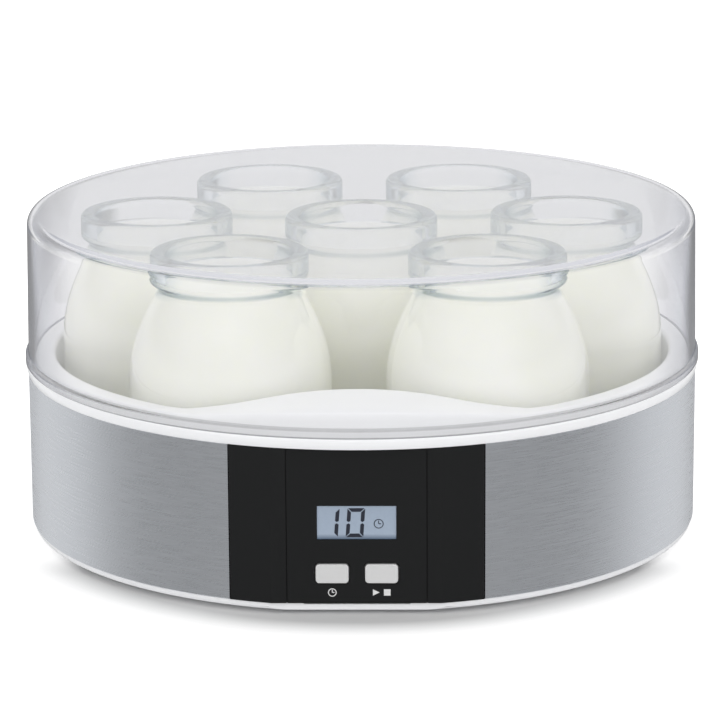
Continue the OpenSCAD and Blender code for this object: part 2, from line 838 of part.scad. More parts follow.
// Half section of a jar: up the outside from the foot, over the lip and down the inside
module jar(place) {
    neck_r = neck_d / 2;
    foot_r = jar_foot_d / 2;
    lip_r = lip_d / 2;
    mouth_r = neck_r - glass_t;
    function heel(inset, floor, a) = [
        foot_r - inset + (jar_r - foot_r) * sin(a),
        floor + (heel_h - floor) * (1 - cos(a))];
    function shoulder(inset, t) = [
        neck_r - inset + (jar_r - neck_r) * pow(sin(90 * t), shoulder_swell),
        neck_z - t * shoulder_h];
    function cove(t) = [
        neck_r + (lip_r - neck_r) * (1 - cos(180 * t)) / 2,
        neck_z + t * cove_h];
    section = concat(
        [[0, punt_h], [foot_r - foot_ring_w - 2 * punt_h, punt_h], [foot_r - foot_ring_w, 0]],
        [for (a = [0 : 11.25 : 90]) heel(0, 0, a)],
        [for (i = [12 : -1 : 1]) shoulder(0, i / 12)],
        [for (i = [0 : 6]) cove(i / 6)],
        arc([lip_r - lip_round, jar_h - lip_round], lip_round, 0, 90, 4),
        arc([mouth_r + lip_round, jar_h - lip_round], lip_round, 90, 180, 4),
        [for (i = [0 : 12]) shoulder(glass_t, i / 12)],
        [for (a = [90 : -11.25 : 0]) heel(glass_t, glass_floor_t, a)],
        [[0, glass_floor_t]]);
    color(GLASS) translate([place[0], place[1], jar_z]) rotate_extrude() polygon(section);
}

module jar_center() { jar(jar_places[0]); }
module jar_front_left() { jar(jar_places[1]); }
module jar_left() { jar(jar_places[2]); }
module jar_rear_left() { jar(jar_places[3]); }
module jar_rear_right() { jar(jar_places[4]); }
module jar_right() { jar(jar_places[5]); }
module jar_front_right() { jar(jar_places[6]); }

base_tray();
rubber_feet();
base_screws();
steel_band();
top_housing();
heating_plate();
plate_gasket();
ring_heater();
insulation_felt();
clamp_spider();
clamp_nuts();
temperature_sensor();
thermal_fuse();
fuse_clip();
power_board();
power_board_screws();
relay();
transformer();
film_capacitor();
terminal_block();
cord_gland();
control_panel();
panel_overlay();
display_window();
display_module();
control_board();
control_board_screws();
tact_switches();
buzzer();
time_button();
time_plunger();
start_button();
start_plunger();
lid();
jar_center();
jar_front_left();
jar_front_right();
jar_left();
jar_right();
jar_rear_left();
jar_rear_right();
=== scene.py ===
"""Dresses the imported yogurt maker: finishes, glass jars with yogurt, clear lid, panel, studio and camera.

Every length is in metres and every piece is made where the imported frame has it.
"""

from __future__ import annotations

import json
import logging
import math
from dataclasses import dataclass, field
from enum import Enum
from typing import Any, Callable, Sequence

import bmesh
import bpy
from mathutils import Matrix, Vector
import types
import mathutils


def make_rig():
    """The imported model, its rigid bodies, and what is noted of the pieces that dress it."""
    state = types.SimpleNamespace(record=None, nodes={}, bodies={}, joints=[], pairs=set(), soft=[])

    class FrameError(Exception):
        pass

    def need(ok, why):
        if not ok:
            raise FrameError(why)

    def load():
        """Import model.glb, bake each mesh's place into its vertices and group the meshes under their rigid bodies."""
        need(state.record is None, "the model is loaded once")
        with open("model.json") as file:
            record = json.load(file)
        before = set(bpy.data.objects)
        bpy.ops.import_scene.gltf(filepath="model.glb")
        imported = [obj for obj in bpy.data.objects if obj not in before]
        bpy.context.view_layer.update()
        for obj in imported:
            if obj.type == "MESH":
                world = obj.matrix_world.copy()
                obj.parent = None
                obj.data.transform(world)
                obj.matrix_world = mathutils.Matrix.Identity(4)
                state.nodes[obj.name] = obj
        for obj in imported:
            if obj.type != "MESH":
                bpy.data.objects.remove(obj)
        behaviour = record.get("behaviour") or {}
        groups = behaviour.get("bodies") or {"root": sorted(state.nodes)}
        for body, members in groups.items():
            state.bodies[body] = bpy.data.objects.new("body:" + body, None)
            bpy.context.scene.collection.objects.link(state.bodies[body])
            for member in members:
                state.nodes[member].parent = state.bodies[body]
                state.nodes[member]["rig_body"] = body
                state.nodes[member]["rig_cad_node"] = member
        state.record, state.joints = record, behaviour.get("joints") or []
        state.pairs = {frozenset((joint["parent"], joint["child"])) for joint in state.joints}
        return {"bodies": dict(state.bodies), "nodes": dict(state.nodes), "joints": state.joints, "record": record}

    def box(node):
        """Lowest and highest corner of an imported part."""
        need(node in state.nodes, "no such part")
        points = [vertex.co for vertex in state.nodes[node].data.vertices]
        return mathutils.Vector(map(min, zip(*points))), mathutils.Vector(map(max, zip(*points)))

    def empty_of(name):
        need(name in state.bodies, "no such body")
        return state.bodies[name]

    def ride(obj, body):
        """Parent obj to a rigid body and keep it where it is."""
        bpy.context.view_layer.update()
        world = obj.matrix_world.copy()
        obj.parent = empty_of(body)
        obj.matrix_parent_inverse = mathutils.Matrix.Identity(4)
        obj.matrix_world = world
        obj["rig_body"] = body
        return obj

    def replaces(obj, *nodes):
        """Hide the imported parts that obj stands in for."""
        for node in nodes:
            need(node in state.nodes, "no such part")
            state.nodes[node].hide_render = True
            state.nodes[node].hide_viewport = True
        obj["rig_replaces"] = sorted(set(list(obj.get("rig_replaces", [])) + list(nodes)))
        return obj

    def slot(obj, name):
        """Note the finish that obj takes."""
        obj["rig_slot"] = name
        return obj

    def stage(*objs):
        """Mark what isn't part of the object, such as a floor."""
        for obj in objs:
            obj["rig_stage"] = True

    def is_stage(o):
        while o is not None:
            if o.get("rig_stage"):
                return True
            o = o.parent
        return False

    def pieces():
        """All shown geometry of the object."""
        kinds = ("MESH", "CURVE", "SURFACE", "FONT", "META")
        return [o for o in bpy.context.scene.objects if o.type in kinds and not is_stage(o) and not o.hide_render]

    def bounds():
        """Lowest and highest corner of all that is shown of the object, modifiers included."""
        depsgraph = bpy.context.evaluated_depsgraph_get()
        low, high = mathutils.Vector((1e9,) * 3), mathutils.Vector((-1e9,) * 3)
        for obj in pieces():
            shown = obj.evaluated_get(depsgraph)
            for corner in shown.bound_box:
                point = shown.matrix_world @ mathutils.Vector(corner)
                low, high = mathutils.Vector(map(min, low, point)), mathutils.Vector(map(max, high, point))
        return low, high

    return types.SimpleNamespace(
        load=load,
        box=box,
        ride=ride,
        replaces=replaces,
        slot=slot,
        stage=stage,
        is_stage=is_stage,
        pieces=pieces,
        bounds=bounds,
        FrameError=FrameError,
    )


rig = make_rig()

LOG = logging.getLogger("yogurt_maker")
MM = 0.001
Piece = bpy.types.Object
Colour = tuple[float, float, float]
Point2 = tuple[float, float]
Stops = tuple[tuple[float, float], ...]
Tints = tuple[tuple[float, Colour], ...]


# --- shader maths


def _both_ways(operation: str) -> tuple[Callable[..., Wire], Callable[..., Wire]]:
    """A Math operation as an operator and as its reflected form."""

    def forward(self: Wire, other: Any) -> Wire:
        """The operation on self and other."""
        return self._math(operation, self, other)

    def reflected(self: Wire, other: Any) -> Wire:
        """The operation on other and self."""
        return self._math(operation, other, self)

    return forward, reflected


class Wire:
    """A node socket that takes part in Python arithmetic."""

    def __init__(self, graph: Graph, socket: bpy.types.NodeSocket) -> None:
        """Keeps the graph that new nodes go into and the socket they start from."""
        self.graph = graph
        self.socket = socket

    def _math(self, operation: str, *values: Any) -> Wire:
        """Adds one Math node with these inputs and returns its result."""
        return self.graph.node("ShaderNodeMath", {"operation": operation}, dict(enumerate(values)))

    __add__, __radd__ = _both_ways("ADD")
    __sub__, __rsub__ = _both_ways("SUBTRACT")
    __mul__, __rmul__ = _both_ways("MULTIPLY")
    __truediv__, __rtruediv__ = _both_ways("DIVIDE")
    __pow__, __rpow__ = _both_ways("POWER")

    def __abs__(self) -> Wire:
        """The value without its sign."""
        return self._math("ABSOLUTE", self)

    def angle_to(self, other: Any) -> Wire:
        """The angle in radians whose sine is along self and whose cosine is along other."""
        return self._math("ARCTAN2", self, other)

    def clamped(self) -> Wire:
        """The value held between 0 and 1."""
        return self.graph.node("ShaderNodeClamp", {}, {"Value": self})


class Graph:
    """Builds one node tree, for a material or the world."""

    def __init__(self, tree: bpy.types.NodeTree) -> None:
        """Empties the tree so that only the new nodes are in it."""
        self.tree = tree
        tree.nodes.clear()

    def node(
        self, kind: str, settings: dict[str, Any], inputs: dict[Any, Any], output: Any = 0
    ) -> Wire:
        """Adds a node.

        Args:
            kind: The node's bl_idname.
            settings: Properties that are set first; "stops" are a ramp's (place, colour) pairs.
            inputs: Values or wires by socket name or number.
            output: The output to return, by name or number.

        Returns:
            The chosen output.
        """
        made = self.tree.nodes.new(kind)
        for name, value in settings.items():
            if name == "stops":
                self._ramp(made.color_ramp, value)
            else:
                setattr(made, name, value)
        for name, value in inputs.items():
            if isinstance(value, Wire):
                self.tree.links.new(value.socket, made.inputs[name])
            else:
                made.inputs[name].default_value = value
        outputs = made.outputs
        return Wire(self, outputs[output]) if len(outputs) else Wire(self, made.inputs[0])

    @staticmethod
    def _ramp(ramp: bpy.types.ColorRamp, stops: Sequence[tuple[float, Any]]) -> None:
        """Sets a ramp's stops."""
        while len(ramp.elements) < len(stops):
            ramp.elements.new(0.5)
        for element, (place, colour) in zip(ramp.elements, stops):
            element.position = place
            element.color = grey(colour) if isinstance(colour, float) else (*colour, 1.0)

    def place(self) -> Wire:
        """The shaded point in the piece's own frame."""
        return self.node("ShaderNodeTexCoord", {}, {}, "Object")

    def axes(self, vector: Wire) -> tuple[Wire, Wire, Wire]:
        """A vector's three numbers."""
        first = self.node("ShaderNodeSeparateXYZ", {}, {0: vector})
        outputs = first.socket.node.outputs
        return tuple(Wire(self, outputs[i]) for i in range(3))

    def vector(self, x: Any, y: Any, z: Any) -> Wire:
        """Three numbers as a vector."""
        return self.node("ShaderNodeCombineXYZ", {}, {0: x, 1: y, 2: z})

    def noise(self, at: Wire, scale: float, detail: float = 2.0, roughness: float = 0.5) -> Wire:
        """A noise value at a point."""
        values = {"Vector": at, "Scale": scale, "Detail": detail, "Roughness": roughness}
        return self.node("ShaderNodeTexNoise", {}, values, "Fac")

    def ramp(self, value: Wire, stops: Sequence[tuple[float, Any]]) -> Wire:
        """A colour picked along a ramp."""
        return self.node("ShaderNodeValToRGB", {"stops": stops}, {"Fac": value}, "Color")

    def blend(self, share: Any, first: Any, second: Any) -> Wire:
        """A mix of two colours."""
        settings = {"data_type": "RGBA"}
        inputs = {0: share, 6: first, 7: second}
        return self.node("ShaderNodeMix", settings, inputs, 2)

    def multiplied(self, first: Any, second: Any) -> Wire:
        """The product of two colours."""
        settings = {"data_type": "RGBA", "blend_type": "MULTIPLY"}
        return self.node("ShaderNodeMix", settings, {0: 1.0, 6: first, 7: second}, 2)

    def bump(self, height: Wire, depth: float, strength: float = 1.0) -> Wire:
        """A normal that a height of so many metres bends."""
        values = {"Height": height, "Distance": depth, "Strength": strength}
        return self.node("ShaderNodeBump", {}, values)

    def mix_shader(self, share: Any, first: Wire, second: Wire) -> Wire:
        """A mix of two shaders."""
        return self.node("ShaderNodeMixShader", {}, {0: share, 1: first, 2: second})

    def light_path(self, output: str) -> Wire:
        """One of the Light Path outputs."""
        return self.node("ShaderNodeLightPath", {}, {}, output)


def grey(value: float) -> tuple[float, float, float, float]:
    """A grey with full alpha."""
    return (value, value, value, 1.0)


def rgba(colour: Colour, share: float = 1.0) -> tuple[float, float, float, float]:
    """A colour times a share, with full alpha."""
    return (*(share * c for c in colour), 1.0)


# --- finishes


@dataclass(frozen=True)
class Finish:
    """A finish: a name, a base colour and its slot in the record, where that is not the name."""

    name: str
    colour: Colour
    roughness: float = 0.4
    slot: str = ""

    def material(self) -> bpy.types.Material:
        """The material, made on first use."""
        known = bpy.data.materials.get("finish_" + self.name)
        if known is not None:
            return known
        made = bpy.data.materials.new("finish_" + self.name)
        made.use_nodes = True
        made.diffuse_color = rgba(self.colour)
        graph = Graph(made.node_tree)
        surface = self.surface(graph)
        graph.node("ShaderNodeOutputMaterial", {}, {"Surface": surface})
        return made

    def principled(self, graph: Graph, **inputs: Any) -> Wire:
        """A Principled shader with this finish's colour and roughness unless others are given."""
        values: dict[str, Any] = {"Base Color": rgba(self.colour), "Roughness": self.roughness}
        values.update({name.replace("_", " "): value for name, value in inputs.items()})
        return graph.node("ShaderNodeBsdfPrincipled", {}, values)

    def surface(self, graph: Graph) -> Wire:
        """The shader. A plain finish is an even one with a trace of mottling."""
        cloud = graph.noise(graph.place(), 180.0, 3.0)
        tone = graph.blend(cloud, rgba(self.colour, 0.94), rgba(self.colour))
        return self.principled(graph, Base_Color=tone, Roughness=self.roughness + (cloud - 0.5) * 0.1)


@dataclass(frozen=True)
class Moulded(Finish):
    """Moulded plastic with a fine spark texture and slow changes of gloss."""

    grain: float = 0.004 * MM
    grain_scale: float = 2600.0
    coat: float = 0.0
    specular: float = 0.5

    def surface(self, graph: Graph) -> Wire:
        """A plastic whose gloss wanders a little and whose skin has a fine grain."""
        at = graph.place()
        cloud = graph.noise(at, 28.0, 3.0)
        fine = graph.noise(at, self.grain_scale, 2.0)
        tone = graph.blend(cloud, rgba(self.colour, 0.97), rgba(self.colour))
        return self.principled(
            graph,
            Base_Color=tone,
            Roughness=self.roughness + (cloud - 0.5) * 0.08,
            Coat_Weight=self.coat,
            Coat_Roughness=0.08,
            Specular_IOR_Level=self.specular,
            Normal=graph.bump(fine, self.grain),
        )


@dataclass(frozen=True)
class BrushedSteel(Finish):
    """Steel sheet brushed round its axis, so that it smears a reflection up and down."""

    streak_pitch: float = 0.35 * MM
    anisotropy: float = 0.75

    def surface(self, graph: Graph) -> Wire:
        """Metal with long fine lines round the axis, in colour, roughness and height."""
        x, y, z = graph.axes(graph.place())
        turn = x.angle_to(y)
        long_lines = graph.noise(graph.vector(turn * 3.0, z / self.streak_pitch, 0.0), 1.0, 4.0, 0.65)
        short_lines = graph.noise(graph.vector(turn * 18.0, z / self.streak_pitch, 7.0), 0.7, 3.0, 0.6)
        lines = ((long_lines * 0.4 + short_lines * 0.6 - 0.5) * 2.2 + 0.5).clamped()
        dark = rgba(self.colour, 0.87)
        light = rgba(self.colour, 1.13)
        return self.principled(
            graph,
            Base_Color=graph.blend(lines, dark, light),
            Metallic=1.0,
            Roughness=self.roughness + (lines - 0.5) * 0.22,
            Anisotropic=self.anisotropy,
            Normal=graph.bump(lines, 0.012 * MM, 0.6),
        )


@dataclass(frozen=True)
class Metal(Finish):
    """Plain rolled or plated metal."""

    def surface(self, graph: Graph) -> Wire:
        """Metal whose gloss wanders a little."""
        cloud = graph.noise(graph.place(), 300.0, 3.0)
        return self.principled(graph, Metallic=1.0, Roughness=self.roughness + (cloud - 0.5) * 0.15)


@dataclass(frozen=True)
class Clear(Finish):
    """Clear glass or plastic that lets lamps reach what it covers."""

    ior: float = 1.5
    ripple: float = 0.0
    shade: float = 1.0
    # Painted shade: the glass colour by how edge-on the wall is seen, darker towards edge-on views.
    rim: Tints = ((0.35, (1.0, 1.0, 1.0)), (1.0, (0.6, 0.66, 0.7)))
    # Painted light: colours of a glow by distance from the middle, seen by rays caught in the wall.
    piped: Tints = ()
    tinted_from: float = 0.0
    tinted_to: float = 1.0
    # Painted shade: the grey that the top face takes.
    cap: Colour = (1.0, 1.0, 1.0)
    # Painted shade: dark bands by height above the given foot height.
    lines: Stops = ((0.0, 1.0), (1.0, 1.0))
    lines_from: float = 0.0

    def surface(self, graph: Graph) -> Wire:
        """A refracting shader, painted darker where the wall is seen edge-on, with painted dark lines, a painted grey
        top and a painted glow where they are set, and a pass-through for shadows.
        """
        at = graph.place()
        ripple = graph.bump(graph.noise(at, 60.0, 2.0), self.ripple)
        _, _, z = graph.axes(at)
        # Painted shade: the glass colour darkens towards edge-on views, only between the two heights given, standing
        # in for the dark edges that refraction shows.
        facing = graph.node("ShaderNodeLayerWeight", {}, {"Blend": 0.5}, "Facing")
        lower = ((z - self.tinted_from) / (4.0 * MM)).clamped()
        facing = facing * (lower * ((self.tinted_to - z) / (1.5 * MM)).clamped())
        stops = [(f, tuple(a * b for a, b in zip(self.colour, tone))) for f, tone in self.rim]
        # Painted shade: the lines stops darken bands up the wall from its foot; on the lid they lie along the foot and
        # the flange's top, standing in for the contact shadow and the dark edge there.
        painted_lines = graph.ramp((z - self.lines_from) / (5.0 * MM), self.lines)
        # Painted shade: above the upper height the top face takes the cap colour, a painted grey.
        above = ((z - self.tinted_to) / (1.4 * MM)).clamped()
        painted_lines = graph.multiplied(painted_lines, graph.blend(above, grey(1.0), rgba(self.cap)))
        glass = self.principled(
            graph,
            Base_Color=graph.multiplied(graph.ramp(facing, stops), painted_lines),
            Roughness=self.roughness,
            IOR=self.ior,
            Transmission_Weight=1.0,
            Normal=ripple,
        )
        # Painted light: rays caught in the wall for more than seven bounces see a glow that is light in the middle and
        # dark towards the ends, standing in for the light the wall would carry.
        if self.piped:
            x, _, _ = graph.axes(at)
            light = graph.ramp(abs(x) * 5.0, self.piped)
            glow = graph.node("ShaderNodeEmission", {}, {"Color": light, "Strength": 1.0})
            trapped = (graph.light_path("Ray Depth") - 7.0).clamped()
            glass = graph.mix_shader(trapped, glass, glow)
        through = graph.node("ShaderNodeBsdfTransparent", {}, {"Color": grey(self.shade)})
        lighting = (graph.light_path("Is Shadow Ray") + graph.light_path("Diffuse Depth")).clamped()
        return graph.mix_shader(lighting, glass, through)


@dataclass(frozen=True)
class Yogurt(Finish):
    """Set yogurt seen through a jar: creamy white, a little cloudy, with small curds."""

    shaded: Colour = (0.91, 0.915, 0.84)

    def surface(self, graph: Graph) -> Wire:
        """A soft white with faint clouds and a curdled skin."""
        at = graph.place()
        cloud = graph.noise(at, 45.0, 4.0, 0.6)
        curds = graph.noise(at, 320.0, 3.0, 0.6)
        tone = graph.blend(
            graph.ramp(cloud, [(0.35, 0.0), (0.65, 1.0)]), rgba(self.shaded), rgba(self.colour)
        )
        return self.principled(
            graph,
            Base_Color=tone,
            Roughness=self.roughness + (curds - 0.5) * 0.2,
            Subsurface_Weight=0.25,
            Subsurface_Radius=(0.004, 0.004, 0.003),
            Subsurface_Scale=1.0,
            Normal=graph.bump(curds, 0.08 * MM),
        )


@dataclass(frozen=True)
class DisplayFace(Finish):
    """The face of a liquid crystal display, with a painted shadow along its lower edge."""

    middle_z: float = 0.0
    height: float = 0.012
    # Colour of the painted shadow along the lower edge.
    low: Colour = (0.06, 0.10, 0.16)

    def surface(self, graph: Graph) -> Wire:
        """A blue-grey field with a painted shadow along its lower edge, a little darker towards the top, under a
        glossy window.
        """
        _, _, z = graph.axes(graph.place())
        up = (z - (self.middle_z - self.height / 2)) / self.height
        # Painted shadow: dark at the lower edge, rising to the face colour and a little darker again towards the top.
        stops = [(0.0, self.low), (0.16, self.colour), (1.0, tuple(0.93 * c for c in self.colour))]
        speck = graph.noise(graph.place(), 900.0, 2.0)
        tone = graph.blend((speck - 0.4) * 0.12, graph.ramp(up, stops), rgba(self.low))
        return self.principled(graph, Base_Color=tone, Coat_Weight=0.6, Coat_Roughness=0.03)


class Palette(Enum):
    """The finishes of the yogurt maker."""

    WHITE = Moulded("white_plastic", (0.87, 0.875, 0.892), 0.3)
    STEEL = BrushedSteel("steel_sheet", (0.625, 0.648, 0.685), 0.3)
    BLACK = Moulded("black_plastic", (0.009, 0.0095, 0.010), 0.38, specular=0.22)
    OVERLAY = Moulded("overlay_film", (0.009, 0.0095, 0.010), 0.3, specular=0.22)
    BUTTON = Moulded("button_grey", (0.62, 0.62, 0.62), 0.4)
    JAR = Clear(
        "jar_glass", (0.985, 0.992, 0.992), 0.0, ior=1.52, ripple=0.05 * MM,
        # Painted shade: the lip darkens towards edge-on views.
        rim=(
            (0.2, (1.0, 1.0, 1.0)), (0.42, (0.70, 0.76, 0.80)), (0.66, (0.24, 0.32, 0.37)),
            (1.0, (0.03, 0.06, 0.09)),
        ),
        tinted_from=99.0 * MM,
    )
    LID = Clear(
        "lid_clear", (0.985, 0.985, 0.99), 0.0, ior=1.46, ripple=0.004 * MM, shade=0.94,
        # Painted shade: the walls darken towards edge-on views.
        rim=(
            (0.45, (1.0, 1.0, 1.0)), (0.55, (0.86, 0.86, 0.88)), (0.62, (0.69, 0.69, 0.72)),
            (0.71, (0.58, 0.59, 0.64)), (0.80, (0.50, 0.515, 0.59)), (0.88, (0.30, 0.32, 0.40)),
            (1.0, (0.10, 0.11, 0.16)),
        ),
        tinted_to=115.6 * MM,
        # Painted shade: the lid's top face takes this grey.
        cap=(0.79, 0.795, 0.825),
        # Painted shade: dark lines along the foot and the flange's top.
        lines=(
            (0.0, 0.35), (0.07, 0.4), (0.12, 0.9), (0.5, 0.88), (0.56, 0.55), (0.66, 0.6), (0.7, 1.0),
        ),
        lines_from=64.0 * MM,
        # Painted light: a glow for rays caught in the wall, dark towards its ends.
        piped=(
            (0.0, (0.84, 0.845, 0.87)), (0.46, (0.76, 0.77, 0.81)), (0.54, (0.45, 0.47, 0.53)),
            (0.61, (0.10, 0.12, 0.17)),
        ),
    )
    YOGURT = Yogurt("yogurt", (0.945, 0.945, 0.885), 0.42, "jar_glass")
    RUBBER = Finish("foot_rubber", (0.05, 0.05, 0.05), 0.8)
    ALUMINIUM = Metal("plate_metal", (0.75, 0.75, 0.76), 0.35)
    SILICONE = Finish("gasket_silicone", (0.3, 0.3, 0.31), 0.6)
    HEATER = Finish("heater_mat", (0.5, 0.2, 0.06), 0.6)
    FELT = Finish("felt", (0.6, 0.56, 0.46), 0.95)
    PLATED = Metal("plated_steel", (0.6, 0.6, 0.58), 0.3)
    BOARD = Finish("board_green", (0.03, 0.16, 0.07), 0.35)
    PART_BLACK = Finish("component_black", (0.02, 0.02, 0.02), 0.5)
    PART_YELLOW = Finish("component_yellow", (0.7, 0.45, 0.06), 0.35)
    PART_GREEN = Finish("component_green", (0.06, 0.3, 0.1), 0.45)
    CERAMIC = Finish("ceramic_white", (0.8, 0.79, 0.75), 0.5)
    LCD_GLASS = Finish("lcd_glass", (0.3, 0.36, 0.42), 0.2)
    INK = Finish("display_ink", (0.012, 0.016, 0.03), 0.35, "window_lens")
    PRINT = Finish("white_print", (0.72, 0.72, 0.72), 0.5, "overlay_film")


def dress(piece: Piece, finish: Finish) -> Piece:
    """Puts one finish on a whole piece.

    Args:
        piece: A mesh object, new or from the frame.
        finish: Its finish.

    Returns:
        The piece.
    """
    piece.data.materials.clear()
    piece.data.materials.append(finish.material())
    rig.slot(piece, finish.slot or finish.name)
    return piece


# --- mesh making


def arc(centre: Point2, radius: float, start: float, stop: float, steps: int) -> list[Point2]:
    """Points of an arc in a half section.

    Args:
        centre: Its centre as (distance from the axis, height).
        radius: Its radius.
        start: First angle in degrees, from straight outwards.
        stop: Last angle in degrees.
        steps: How many steps between them.

    Returns:
        steps + 1 points.
    """
    angles = [math.radians(start + (stop - start) * i / steps) for i in range(steps + 1)]
    return [(centre[0] + radius * math.cos(a), centre[1] + radius * math.sin(a)) for a in angles]


def guarded(section: Sequence[Point2], closed: bool, reach: float = 0.4 * MM) -> list[Point2]:
    """Adds a point close to each end of a long straight run, so that its shading stays straight.

    Args:
        section: Points as (distance from the axis, height).
        closed: Whether the last point joins the first.
        reach: How far from the ends the new points lie.

    Returns:
        The section with its guard points.
    """
    kept: list[Point2] = []
    following = list(section[1:]) + ([section[0]] if closed else [])
    for here, there in zip(section, following):
        kept.append(here)
        start, run = Vector(here), Vector(there) - Vector(here)
        if run.length > 4.0 * MM and max(here[0], there[0]) > reach:
            along = run.normalized() * reach
            kept += [tuple(start + along)] if here[0] > reach else []
            kept += [tuple(start + run - along)] if there[0] > reach else []
    return kept if closed else kept + [section[-1]]


def lathe(
    section: Sequence[Point2], steps: int, middle: Point2 = (0.0, 0.0), closed: bool = False
) -> bmesh.types.BMesh:
    """Spins a half section round a vertical axis.

    Args:
        section: Points as (distance from the axis, height).
        steps: How many steps the full turn has.
        middle: Where the axis stands, as (x, y).
        closed: Whether the last point joins the first, as for a tube.

    Returns:
        A bmesh whose faces point outwards.
    """
    bm = bmesh.new()
    verts = [bm.verts.new((middle[0] + r, middle[1], z)) for r, z in guarded(section, closed)]
    pairs = list(zip(verts, verts[1:])) + ([(verts[-1], verts[0])] if closed else [])
    edges = [bm.edges.new(pair) for pair in pairs]
    bmesh.ops.spin(
        bm,
        geom=verts + edges,
        cent=(middle[0], middle[1], 0.0),
        axis=(0.0, 0.0, 1.0),
        angle=math.tau,
        steps=steps,
        use_merge=True,
    )
    bmesh.ops.remove_doubles(bm, verts=bm.verts, dist=1e-6)
    bmesh.ops.dissolve_degenerate(bm, dist=1e-7, edges=bm.edges)
    bmesh.ops.delete(bm, geom=[e for e in bm.edges if not e.link_faces], context="EDGES")
    bmesh.ops.recalc_face_normals(bm, faces=bm.faces)
    return bm


def piece_from(bm: bmesh.types.BMesh, name: str, sharp: float = 40.0) -> Piece:
    """Makes an object of a bmesh, smooth except across sharp edges.

    Args:
        bm: The mesh, which is freed.
        name: The piece's name.
        sharp: Edges that turn more than this many degrees stay sharp.

    Returns:
        The new object, at the origin.
    """
    mesh = bpy.data.meshes.new(name)
    bm.to_mesh(mesh)
    bm.free()
    mesh.polygons.foreach_set("use_smooth", [True] * len(mesh.polygons))
    mesh.set_sharp_from_angle(angle=math.radians(sharp))
    made = bpy.data.objects.new(name, mesh)
    bpy.context.scene.collection.objects.link(made)
    return made


def softened(node: str, name: str, width: float, segments: int = 2) -> Piece:
    """A copy of a CAD node whose sharp edges are rounded, which replaces it.

    Args:
        node: The node to copy.
        name: The new piece's name.
        width: Width of the rounding.
        segments: Steps across it.

    Returns:
        The new piece, riding with the node's body.
    """
    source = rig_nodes()[node]
    bm = bmesh.new()
    bm.from_mesh(source.data)
    bmesh.ops.remove_doubles(bm, verts=bm.verts, dist=2e-6)
    bmesh.ops.dissolve_degenerate(bm, dist=1e-6, edges=bm.edges)
    bmesh.ops.dissolve_limit(
        bm, angle_limit=math.radians(0.6), verts=bm.verts, edges=bm.edges, delimit=set()
    )
    made = piece_from(bm, name, 30.0)
    rounding = made.modifiers.new("edge_rounding", "BEVEL")
    rounding.width = width
    rounding.segments = segments
    rounding.limit_method = "ANGLE"
    rounding.angle_limit = math.radians(35.0)
    rounding.harden_normals = True
    rounding.use_clamp_overlap = True
    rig.replaces(made, node)
    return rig.ride(made, source["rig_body"])


_FRAME: dict[str, Any] = {}


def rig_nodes() -> dict[str, Piece]:
    """The CAD nodes' objects by name."""
    return _FRAME["nodes"]


def extent(node: str) -> tuple[Vector, Vector]:
    """Lowest and highest corner of a CAD node."""
    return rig.box(node)


# --- the jars


